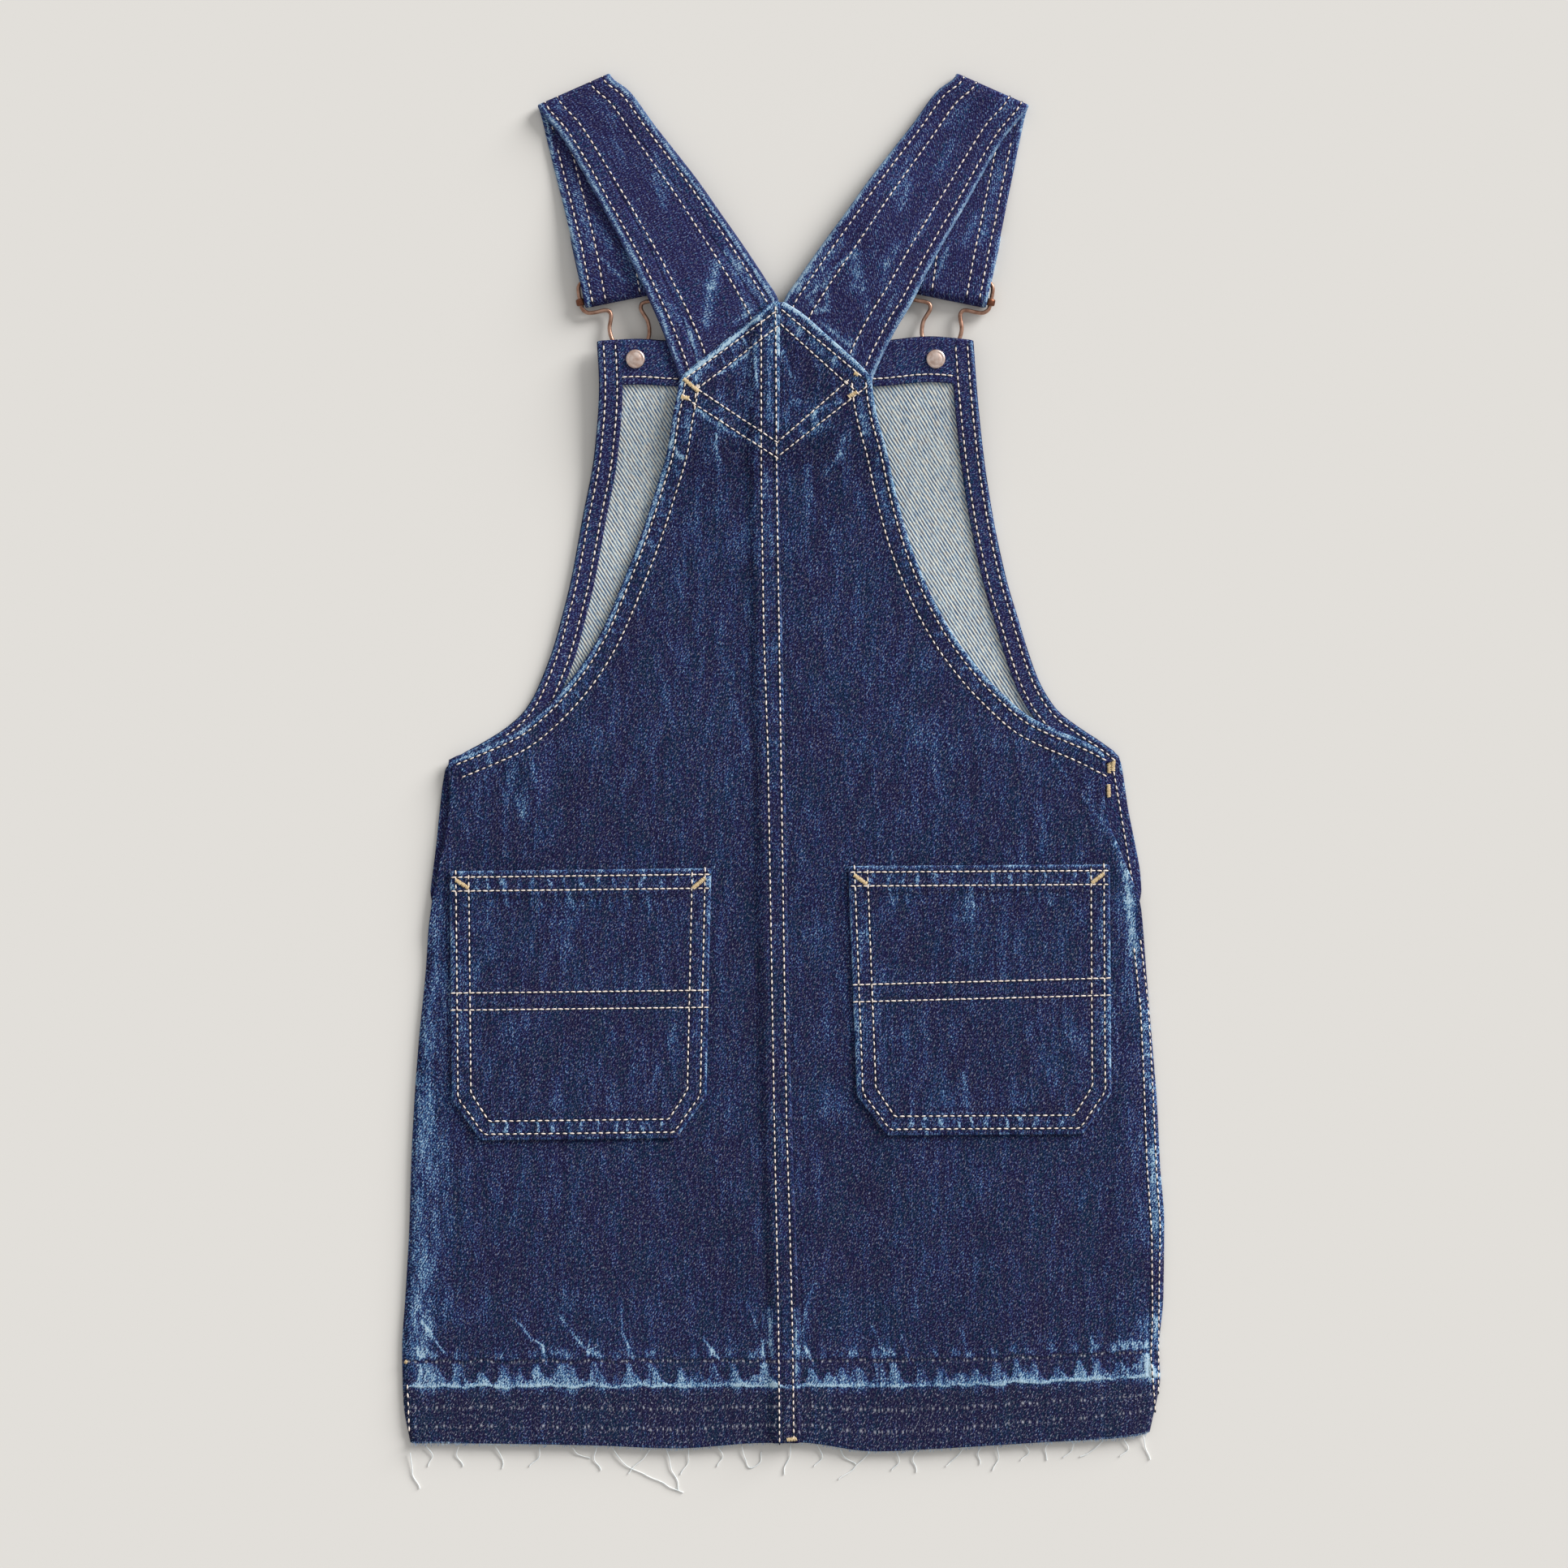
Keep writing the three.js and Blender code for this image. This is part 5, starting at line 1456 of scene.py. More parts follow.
@dataclass
class Strap:
    """A strap, from under the yoke over the shoulder fold to the buckle's bar, round it and back."""

    side: Side
    columns: int = 4
    fine: int = 22
    step: float = 1.9
    grid: Optional[Array] = None

    def section(self, row: StrapSection, on_bib: bool = False) -> Array:
        """Points across the strap's middle surface at one of its sections."""
        t = np.linspace(0, 1, self.columns + 1)
        x = row.outer_x + (row.inner_x - row.outer_x) * t
        y = row.outer_y + (row.inner_y - row.outer_y) * t
        z = row.outer_z + (row.inner_z - row.outer_z) * t + STRAP / 2
        if on_bib:
            z = np.maximum(z, front_base(x, y) + CLOTH + FACING + 2 * GAP + STRAP / 2)
        return np.stack([x, y, z], axis=1)

    def turn(self, outer: tuple, inner: tuple, out: tuple, middle: float, radius: float) -> list:
        """Sections round a fold, as half a circle about an edge."""
        t = np.linspace(0, 1, self.columns + 1)[:, None]
        line = np.asarray(outer) * (1 - t) + np.asarray(inner) * t
        found = []
        for angle in np.linspace(math.pi / 2, -math.pi / 2, 7):
            flat = line + np.asarray(out) * radius * math.cos(angle)
            height = np.full((len(flat), 1), middle + radius * math.sin(angle))
            found.append(np.concatenate([flat, height], axis=1))
        return found

    def sections(self) -> Array:
        """All sections from the yoke to the tail's end, already on their own side."""
        sign = self.side.value
        along = np.subtract(SHOULDER_INNER, SHOULDER_OUTER)
        along = along / np.linalg.norm(along)
        behind = [self.section(row, row.outer_y < 215) for row in STRAP_BACK]
        beyond = (-along[1], along[0])
        behind += self.turn(SHOULDER_OUTER, SHOULDER_INNER, beyond, SHOULDER_MIDDLE_Z, SHOULDER_RADIUS)
        before = [self.section(row) for row in STRAP_FRONT]
        bar = (math.sin(BUCKLE_TILT), -math.cos(BUCKLE_TILT))
        ends = [on_buckle(a * STRAP_HALF_AT_BAR, BAR_UP) for a in (-1, 1)]
        before += self.turn(*ends, bar, BUCKLE_Z - BUCKLE_FALL * BAR_UP, BAR_RADIUS + GAP + STRAP / 2)
        for up, half in STRAP_TAIL:
            x, y = on_buckle(np.linspace(-half, half, self.columns + 1), up)
            before.append(np.stack([x, y, np.full(x.shape, STRAP / 2)], axis=1))
        back, fore = np.array(behind), np.array(before)
        back[..., 0] = -sign * back[..., 0] + yoke_lean(back[..., 1])
        fore[..., 0] = -sign * fore[..., 0] + BIB_CENTRE * ease(320, 250, fore[..., 1])
        return np.concatenate([back, fore])

    def build(self, palette: Palette) -> Shell:
        """Builds its cloth."""
        control = self.sections()
        padded = with_ends(control)
        rows = []
        for i in range(1, len(padded) - 2):
            a, b, c, d = padded[i - 1:i + 3]
            span = np.linalg.norm(c[self.columns // 2] - b[self.columns // 2])
            count = max(1, int(math.ceil(span / self.step)))
            ta, tb = np.linalg.norm(b - a, axis=1).mean(), np.linalg.norm(c - b, axis=1).mean()
            tc = np.linalg.norm(d - c, axis=1).mean()
            mb = ((b - a) / ta + (c - b) / tb) * tb / 2
            mc = ((c - b) / tb + (d - c) / tc) * tb / 2
            for t in np.arange(count) / count:
                u = 1 - t
                ends = u * u * (1 + 2 * t) * b + t * t * (1 + 2 * u) * c
                rows.append(ends + t * u * u * mb - t * t * u * mc)
        rows.append(padded[-2])
        coarse = np.array(rows)
        at = cells(self.fine, 0.04) * self.columns
        low = np.minimum(at.astype(int), self.columns - 1)
        part = (at - low)[None, :, None]
        mid = coarse[:, low] * (1 - part) + coarse[:, low + 1] * part
        self.grid = mid
        width = np.linalg.norm(mid[:, -1] - mid[:, 0], axis=1)[:, None]
        across = (at / self.columns)[None, :] * width
        along = np.broadcast_to(lengths(mid[:, self.fine // 2])[:, None], across.shape)
        from_edge = np.minimum(across, width - across)
        band = np.abs(from_edge - 6.6)
        outer = across < width / 2
        low_end = 1 - ease(STRAP_WORN_TO - 40, STRAP_WORN_TO, along)
        at_buckle = ease(STRAP_BUCKLE - 45, STRAP_BUCKLE, along)
        in_front = ease(STRAP_FOLD - 14, STRAP_FOLD, along) - 1.6 * at_buckle
        spared = np.where(outer, 0.7 - 0.4 * low_end + 0.6 * in_front, 0.9 - 0.75 * low_end)
        # the left strap's pale worn edges lie further in and show stronger: real wear, made stronger on that
        # side as painted light against the key's shade
        spared = spared - (1.5 if self.side is Side.LEFT else 0.2)
        fields = {
            "edge": from_edge + spared, "band": band, "along": along,
            "gather": np.full(across.shape, 0.2), "across": across,
            "hem": np.full(across.shape, NO_HEM), **worn_fields(mid[..., 0], mid[..., 1], STRAP_CREASES),
        }
        fields["fade"] = fields["fade"] + STRAP_STREAK_GAIN * line_field(across, along, STRAP_STREAKS)
        left = self.side is Side.LEFT
        over = weave_map(across, along, 40.6 if left else 103.8)
        below = weave_map(across + 90, along, -5 if left else -136)
        grain = np.stack([along, across + (0 if left else 70)], axis=2) * MM
        if left:
            mid, over, below, grain = mid[:, ::-1], over[:, ::-1], below[:, ::-1], grain[:, ::-1]
            fields = {k: v[:, ::-1] for k, v in fields.items()}
        faces = [palette.strap, palette.strap]
        name = f"strap_{self.side.word}_cloth"
        return Shell(name, mid, STRAP, over, fields, faces, 0, below, None, grain).build()

    def row(self, across: float, start: float, end: float) -> Array:
        """A run of points on the strap's visible face, along it from start to end, in 3D."""
        mid = self.grid
        gone = lengths(mid[:, self.fine // 2])
        keep = (gone >= start) & (gone <= end)
        t = across / 38.2
        line = mid[:, 0] * (1 - t) + mid[:, -1] * t
        away = np.cross(np.gradient(mid, axis=0)[:, 0], (mid[:, -1] - mid[:, 0]))
        away /= np.linalg.norm(away, axis=1, keepdims=True)
        facing = np.where(away[:, 2:] < 0, -1.0, 1.0)
        return (line + away * facing * (STRAP / 2))[keep]


def tube(path: Array, radius: float, sides: int, closed: bool) -> tuple[Array, Array]:
    """Points and faces of a round wire along a run of points."""
    count = len(path)
    ring = np.roll(path, -1, axis=0) - np.roll(path, 1, axis=0)
    tangent = ring if closed else np.gradient(path, axis=0)
    tangent /= np.maximum(np.linalg.norm(tangent, axis=1, keepdims=True), 1e-9)
    up = np.tile([0.0, 0.0, 1.0], (count, 1))
    out = np.cross(tangent, up)
    out /= np.maximum(np.linalg.norm(out, axis=1, keepdims=True), 1e-9)
    over = np.cross(out, tangent)
    angle = np.linspace(0, 2 * math.pi, sides, endpoint=False)
    cos, sin = np.cos(angle)[None, :, None], np.sin(angle)[None, :, None]
    points = (path[:, None] + radius * (cos * out[:, None] + sin * over[:, None])).reshape(-1, 3)
    index = np.arange(count * sides).reshape(count, sides)
    nxt = np.roll(index, -1, axis=0) if closed else index[1:]
    now = index if closed else index[:-1]
    faces = np.stack([now, nxt, np.roll(nxt, -1, axis=1), np.roll(now, -1, axis=1)], axis=-1).reshape(-1, 4)
    return points, faces


def make_mesh(name: str, points: Array, faces: Sequence, material: Material) -> Piece:
    """A smooth mesh object from points in millimetres."""
    mesh = bpy.data.meshes.new(name)
    mesh.from_pydata((np.asarray(points) * MM).tolist(), [], [list(map(int, f)) for f in faces])
    mesh.polygons.foreach_set("use_smooth", np.ones(len(mesh.polygons), bool))
    mesh.materials.append(material)
    mesh.update()
    obj = bpy.data.objects.new(name, mesh)
    bpy.context.scene.collection.objects.link(obj)
    return obj


def lathe(profile: Sequence, at: tuple, steps: int = 40) -> tuple[Array, list]:
    """Points and faces of a turned piece with an upright axis, closed on its axis at both ends."""
    angle = np.linspace(0, 2 * math.pi, steps, endpoint=False)
    cos, sin = np.cos(angle), np.sin(angle)
    rings = [np.stack([r * cos, r * sin, np.full(steps, z)], axis=1) for r, z in profile[1:-1]]
    points = [np.array([[0, 0, profile[0][1]]])] + rings + [np.array([[0, 0, profile[-1][1]]])]
    faces = [(0, 1 + (k + 1) % steps, 1 + k) for k in range(steps)]
    for i in range(len(rings) - 1):
        a, b = 1 + i * steps, 1 + (i + 1) * steps
        faces += [(a + k, a + (k + 1) % steps, b + (k + 1) % steps, b + k) for k in range(steps)]
    last, tip = 1 + (len(rings) - 1) * steps, 1 + len(rings) * steps
    faces += [(last + k, last + (k + 1) % steps, tip) for k in range(steps)]
    return np.concatenate(points) + np.asarray(at), faces


@dataclass
class Fastening:
    """One side's wire buckle with its bar, the button under the bib and the rivet inside it."""

    side: Side
    cap_radius: float = 8.3
    cap_height: float = 2.6
    neck_radius: float = 2.4
    rivet_radius: float = 4.65
    rivet_height: float = 1.5
    eye_radius: float = 2.3
    eye_height: float = 3.4

    def place(self, across: Array, up: Array, height: Array) -> Array:
        """Points of the buckle in the row frame."""
        x, y = on_buckle(np.asarray(across, float), np.asarray(up, float))
        z = BUCKLE_Z - BUCKLE_FALL * np.asarray(up, float) + height
        return np.stack(np.broadcast_arrays(-self.side.value * x + BIB_CENTRE, y, z), axis=-1)

    def wire(self, palette: Palette) -> Piece:
        """The bent wire."""
        half = [(b.across, b.up) for b in WIRE_BENDS]
        loop = half + [(-a, u) for a, u in reversed(half[1:-1])]
        run = smooth_run(loop, 0.8, closed=True)[:-1]
        points, faces = tube(self.place(run[:, 0], run[:, 1], 0), WIRE_RADIUS, 14, True)
        return make_mesh(f"buckle_{self.side.word}_wire", points, faces, palette.copper)

    def bar(self, palette: Palette) -> Piece:
        """The bar that the strap goes round, with a riveted knob over each side wire."""
        ends = np.linspace(-SIDE_WIRE, SIDE_WIRE, 12)
        points, faces = tube(self.place(ends, np.full(12, BAR_UP), 0), BAR_RADIUS, 14, False)
        caps = [list(range(13, -1, -1)), list(range(11 * 14, 12 * 14))]
        all_points, all_faces = [points], [list(f) for f in faces] + caps
        for end in (-1, 1):
            profile = [(0.72, -0.5), (0.95, -0.42), (1.0, -0.2), (1.0, 0.2), (0.95, 0.42), (0.72, 0.5)]
            angle = np.linspace(0, 2 * math.pi, 20, endpoint=False)
            base = sum(len(p) for p in all_points)
            rings = []
            for r, z in profile:
                across = end * SIDE_WIRE + self.eye_radius * r * np.cos(angle)
                height = self.eye_radius * 0.9 * r * np.sin(angle)
                rings.append(self.place(across, BAR_UP + z * self.eye_height, height))
            all_points += rings
            for i in range(len(rings) - 1):
                a, b = base + i * 20, base + (i + 1) * 20
                all_faces += [[a + k, b + k, b + (k + 1) % 20, a + (k + 1) % 20] for k in range(20)]
            all_faces += [list(range(base, base + 20)), list(range(base + 119, base + 99, -1))]
        name = f"buckle_{self.side.word}_bar"
        return make_mesh(name, np.concatenate(all_points), all_faces, palette.dark_copper)

    def button(self, palette: Palette) -> Piece:
        """The button's cap and neck under the bib."""
        x = BIB_CENTRE + self.side.value * BUTTON_HALF_SPACING
        r, top = self.cap_radius, BIB_LIFT_AT_BUTTON - GAP
        neck, high = self.neck_radius, self.cap_height
        profile = [
            (0, 0), (r - 1.8, 0), (r - 1.2, 0.1), (r - 0.3, 0.7), (r, 1.5), (r - 0.2, 2.2), (r - 0.8, high),
            (neck + 0.4, high), (neck, high + 0.4), (neck, top), (0, top),
        ]
        points, faces = lathe(profile, (x, BUTTON_Y, 0))
        return make_mesh(f"button_{self.side.word}_turned", points, faces, palette.copper)

    def rivet(self, palette: Palette) -> Piece:
        """The plain domed cap inside, with a shallow ring round its middle."""
        x = BIB_CENTRE + self.side.value * BUTTON_HALF_SPACING
        z = BIB_LIFT_AT_BUTTON + CLOTH + GAP + FACING + GAP
        r, h = self.rivet_radius, self.rivet_height
        profile = [
            (0, 0), (r - 0.3, 0), (r, 0.25), (r, 0.55), (r - 0.35, 0.95), (r - 1.0, 1.15), (r - 1.35, 1.02),
            (r - 1.7, 1.12), (r - 2.3, h - 0.12), (r - 3.3, h - 0.02), (0, h),
        ]
        points, faces = lathe(profile, (x, BUTTON_Y, z))
        return make_mesh(f"rivet_{self.side.word}_cap", points, faces, palette.cap)


def open_tree(name: str, numbers: dict, seed: int) -> tuple[Tree, Nodes, Sequence, Socket]:
    """Starts a geometry node tree that reads guide lines.

    Args:
        name: its name.
        numbers: its number inputs and their defaults, lengths in metres and angles in radians.
        seed: the default of its seed.

    Returns:
        The tree, its node adder, its inputs and the even points along the guide lines.
    """
    tree = bpy.data.node_groups.new(name, "GeometryNodeTree")
    face = tree.interface
    face.new_socket("Geometry", in_out="INPUT", socket_type="NodeSocketGeometry")
    for key, default in numbers.items():
        face.new_socket(key, in_out="INPUT", socket_type="NodeSocketFloat").default_value = default
    face.new_socket("Seed", in_out="INPUT", socket_type="NodeSocketInt").default_value = seed
    face.new_socket("Material", in_out="INPUT", socket_type="NodeSocketMaterial")
    face.new_socket("Geometry", in_out="OUTPUT", socket_type="NodeSocketGeometry")
    n = Nodes(tree)
    entry = n.add("NodeGroupInput").outputs
    curve = n.add("GeometryNodeMeshToCurve", {0: entry["Geometry"]}).outputs[0]
    even = n.add("GeometryNodeResampleCurve", {"Curve": curve, "Length": entry["Pitch"]}, mode="LENGTH")
    return tree, n, entry, even.outputs[0]


def close_tree(n: Nodes, entry: Sequence, placing: dict, sizes: tuple, shift: float) -> None:
    """Puts a shape on every point, makes the copies real and gives them the material.

    Args:
        n: the tree's node adder.
        entry: the tree's inputs.
        placing: the points, the shape and its rotation, as the instancing node names them.
        sizes: the least and the largest scale.
        shift: what is added to the seed for the scale.
    """
    inputs = {2: sizes[0], 3: sizes[1], "Seed": n.plus(entry["Seed"], shift)}
    scale = n.add("FunctionNodeRandomValue", inputs, data_type="FLOAT").outputs[1]
    placed = n.add("GeometryNodeInstanceOnPoints", {**placing, "Scale": scale})
    real = n.add("GeometryNodeRealizeInstances", {0: placed.outputs[0]})
    painted = n.add("GeometryNodeSetMaterial", {"Geometry": real.outputs[0], "Material": entry["Material"]})
    n.add("NodeGroupOutput", {0: painted.outputs[0]})


def stitch_tree() -> Tree:
    """Geometry nodes that lay small rounded stitches along the edges of a guide mesh."""
    tree, n, entry, points = open_tree("lay_stitches", {
        "Pitch": 0.004, "Length": 0.0027, "Width": 0.0009, "Height": 0.0007, "Shift": 0.0, "Turn": 0.0,
        "Vary": 0.1,
    }, 3)
    ball = n.add("GeometryNodeMeshUVSphere", {"Segments": 8, "Rings": 6, "Radius": 0.5})
    size = n.add("ShaderNodeCombineXYZ", {0: entry["Length"], 1: entry["Width"], 2: entry["Height"]})
    shift = n.add("ShaderNodeCombineXYZ", {0: entry["Shift"]})
    stitch = n.add("GeometryNodeTransform", {
        "Geometry": ball.outputs[0], "Translation": shift.outputs[0], "Scale": size.outputs[0],
    })
    smooth = n.add("GeometryNodeSetShadeSmooth", {0: stitch.outputs[0]})
    tangent = n.add("GeometryNodeInputTangent")
    align = "FunctionNodeAlignRotationToVector"
    along = n.add(align, {"Vector": tangent.outputs[0]}, axis="X")
    inputs = {"Rotation": along.outputs[0], "Vector": (0.0, 0.0, 1.0)}
    upright = n.add(align, inputs, axis="Z", pivot_axis="X")
    jitter = n.add("FunctionNodeRandomValue", {2: -0.5, 3: 0.5, "Seed": entry["Seed"]}, data_type="FLOAT")
    angle = n.fuse(jitter.outputs[1], entry["Vary"], entry["Turn"])
    local = n.add("FunctionNodeAxisAngleToRotation", {"Axis": (0.0, 0.0, 1.0), "Angle": angle})
    inputs = {0: upright.outputs[0], 1: local.outputs[0]}
    turned = n.add("FunctionNodeRotateRotation", inputs, rotation_space="LOCAL")
    placing = {"Points": points, "Instance": smooth.outputs[0], "Rotation": turned.outputs[0]}
    close_tree(n, entry, placing, (0.88, 1.1), 17.0)
    return tree


def strand_tree() -> Tree:
    """Geometry nodes that hang short bent fibres from the edges of a guide mesh."""
    numbers = {"Pitch": 0.0004, "Length": 0.003, "Radius": 0.00009, "Spread": 1.2}
    tree, n, entry, points = open_tree("hang_strands", numbers, 5)
    bent = n.add("GeometryNodeCurveQuadraticBezier", {
        "Resolution": 3, "Start": (0.0, 0.0, 0.0), "Middle": (0.12, -0.5, 0.05), "End": (-0.05, -1.0, 0.0),
    })
    long = n.add("ShaderNodeCombineXYZ", {k: entry["Length"] for k in range(3)})
    sized = n.add("GeometryNodeTransform", {"Geometry": bent.outputs[0], "Scale": long.outputs[0]})
    ring = n.add("GeometryNodeCurvePrimitiveCircle", {"Resolution": 3, "Radius": entry["Radius"]})
    fibre = n.add("GeometryNodeCurveToMesh", {"Curve": sized.outputs[0], "Profile Curve": ring.outputs[0]})
    low, high = n.times(entry["Spread"], -0.5), n.times(entry["Spread"], 0.5)
    angle = n.add("FunctionNodeRandomValue", {2: low, 3: high, "Seed": entry["Seed"]}, data_type="FLOAT")
    turn = n.add("ShaderNodeCombineXYZ", {2: angle.outputs[1]})
    spin = n.add("FunctionNodeEulerToRotation", {0: turn.outputs[0]})
    placing = {"Points": points, "Instance": fibre.outputs[0], "Rotation": spin.outputs[0]}
    close_tree(n, entry, placing, (0.25, 1.0), 9.0)
    return tree


def grow(name: str, runs: Sequence[Array], tree: Tree, values: dict) -> Piece:
    """Runs a node tree on guide lines and keeps the plain mesh that comes out.

    Args:
        name: the new piece's name.
        runs: lines of 3D points in millimetres.
        tree: the geometry nodes.
        values: input name to value.

    Returns:
        The new object.
    """
    points, edges, start = [], [], 0
    for run in runs:
        points += (np.asarray(run) * MM).tolist()
        edges += [(start + i, start + i + 1) for i in range(len(run) - 1)]
        start += len(run)
    guide = bpy.data.meshes.new(name + "_guide")
    guide.from_pydata(points, edges, [])
    obj = bpy.data.objects.new(name, guide)
    bpy.context.scene.collection.objects.link(obj)
    modifier = obj.modifiers.new("grow", "NODES")
    modifier.node_group = tree
    for item in tree.interface.items_tree:
        if item.item_type == "SOCKET" and item.in_out == "INPUT" and item.name in values:
            modifier[item.identifier] = values[item.name]
    bpy.context.view_layer.update()
    graph = bpy.context.evaluated_depsgraph_get()
    mesh = bpy.data.meshes.new_from_object(obj.evaluated_get(graph), depsgraph=graph)
    obj.modifiers.clear()
    obj.data = mesh
    mesh.name = name
    bpy.data.meshes.remove(guide)
    return obj


class Sewing:
    """Lays every row of stitches and bartack on the cloth, with a dark blot of painted shade at each needle
    hole.
    """

    def __init__(self, palette: Palette) -> None:
        """Args: palette: the materials."""
        self.palette = palette
        self.tree = stitch_tree()
        self.surfaces: dict[str, BVHTree] = {}

    def learn(self, name: str, shell: Shell) -> None:
        """Remembers a piece so that rows can be laid on it."""
        mesh = shell.object.data
        points = [v.co.copy() for v in mesh.vertices]
        self.surfaces[name] = BVHTree.FromPolygons(points, [tuple(p.vertices) for p in mesh.polygons])

    def lay(self, name: str, points: Sequence, lift: float = 0.12) -> Optional[Array]:
        """A flat run of points dropped onto a piece from above."""
        tree = self.surfaces[name]
        found = []
        for x, y in resample(points, 1.3):
            hit = tree.ray_cast(Vector((x * MM, y * MM, 0.1)), Vector((0, 0, -1)))
            if hit[0] is not None:
                found.append((x, y, hit[0].z / MM + lift))
        return np.array(found) if len(found) > 1 else None

    def rows(self, piece: str, runs: Sequence[Array], pitch: float = STITCH_PITCH) -> list:
        """Stitches along 3D runs, and a dark blot of painted shade at each needle hole between them."""
        runs = [r for r in runs if r is not None and len(r) > 1]
        gap = 1.15 if pitch > CLOSE_PITCH else 0.5
        values = {
            "Pitch": pitch * MM, "Length": (pitch - gap) * MM, "Width": 0.76 * MM, "Height": 0.72 * MM,
            "Vary": 0.2, "Seed": 3, "Material": self.palette.thread,
        }
        sewn = grow(f"{piece}_stitches", runs, self.tree, values)
        # painted shade: a flat dark blot in each needle hole between the stitches
        low = [np.asarray(r) - np.array([0, 0, 0.1]) for r in runs]
        values = {
            "Pitch": pitch * MM, "Length": (gap + 0.5) * MM, "Width": 0.95 * MM, "Height": 0.3 * MM,
            "Shift": pitch / 2 * MM, "Vary": 0.0, "Seed": 3, "Material": self.palette.hole,
        }
        return [sewn, grow(f"{piece}_needle_holes", low, self.tree, values)]

    def tacks(self, piece: str, tacks: Sequence[Tack]) -> Optional[Piece]:
        """Bartacks: threads packed side by side across a short line."""
        runs = [self.lay(piece, [(t.from_x, t.from_y), (t.to_x, t.to_y)], 0.25) for t in tacks]
        runs = [r for r in runs if r is not None]
        if not runs:
            return None
        values = {
            "Pitch": 0.42 * MM, "Length": 2.3 * MM, "Width": 0.52 * MM, "Height": 0.8 * MM,
            "Turn": math.pi / 2, "Vary": 0.7, "Seed": 11, "Material": self.palette.gold,
        }
        return grow(f"{piece}_bartacks", runs, self.tree, values)


# The paper: half of its width and its level. The light: the fill, and the key's strength, width and direction
PAPER_HALF = 4000.0
PAPER_LEVEL = -0.25
FILL_STRENGTH = 0.5
KEY_STRENGTH = 4.59
KEY_WIDTH_DEG = 32
KEY_FROM = (0.68, 0.54, 0.316)


class Studio:
    """The paper, the light and the camera."""

    def __init__(self) -> None:
        """Builds all three."""
        self.floor()
        self.light()
        self.camera()

    def floor(self) -> None:
        """A sheet of pale warm paper."""
        around = ((-1, -1), (1, -1), (1, 1), (-1, 1))
        corners = [(x * PAPER_HALF, y * PAPER_HALF, PAPER_LEVEL) for x, y in around]
        matt = plain("pale_paper", "#e2dfda", 1.0)
        matt.node_tree.nodes["Principled BSDF"].inputs["Specular IOR Level"].default_value = 0.0
        paper = make_mesh("paper_floor", np.array(corners), [(0, 1, 2, 3)], matt)

    def light(self) -> None:
        """A low soft key from the upper right and an even fill."""
        world = bpy.data.worlds.new("soft_fill")
        world.use_nodes = True
        world.node_tree.nodes["Background"].inputs["Color"].default_value = (1.0, 1.0, 1.0, 1.0)
        world.node_tree.nodes["Background"].inputs["Strength"].default_value = FILL_STRENGTH
        bpy.context.scene.world = world
        key = bpy.data.lights.new("key", "SUN")
        key.energy = KEY_STRENGTH
        key.angle = math.radians(KEY_WIDTH_DEG)
        lamp = bpy.data.objects.new("key", key)
        lamp.rotation_euler = Vector(KEY_FROM).to_track_quat("Z", "Y").to_euler()
        bpy.context.scene.collection.objects.link(lamp)

    def camera(self) -> None:
        """Straight above, as far off as the photo's frame needs."""
        lens = bpy.data.cameras.new("camera")
        lens.lens = LENS_MM
        lens.sensor_width = SENSOR_MM
        lens.clip_end = 20
        lens.dof.use_dof = False
        camera = bpy.data.objects.new("camera", lens)
        height = FRAME_WIDTH * MM * LENS_MM / SENSOR_MM + FRAME_LEVEL
        camera.location = (FRAME_CENTRE[0] * MM, FRAME_CENTRE[1] * MM, height)
        bpy.context.scene.collection.objects.link(camera)
        bpy.context.scene.camera = camera


def half_area(obj: Piece) -> float:
    """Half of a closed shell's surface, in square metres."""
    return sum(p.area for p in obj.data.polygons) / 2


def declare_sheet(shell: Shell, size: tuple) -> None:
    """Works out a piece of cloth's area, kept below that of its flat cut in millimetres; the result is not
    used further.
    """
    area = min(half_area(shell.object), 0.999 * size[0] * size[1] * MM * MM)


def finish_piece(obj: Optional[Piece], nodes: Sequence[str] = ()) -> None:
    """Fixes a piece to the one body, and hides the solids that it stands for."""
    if obj is None:
        return
    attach(obj, "root")
    if nodes:
        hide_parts(*nodes)


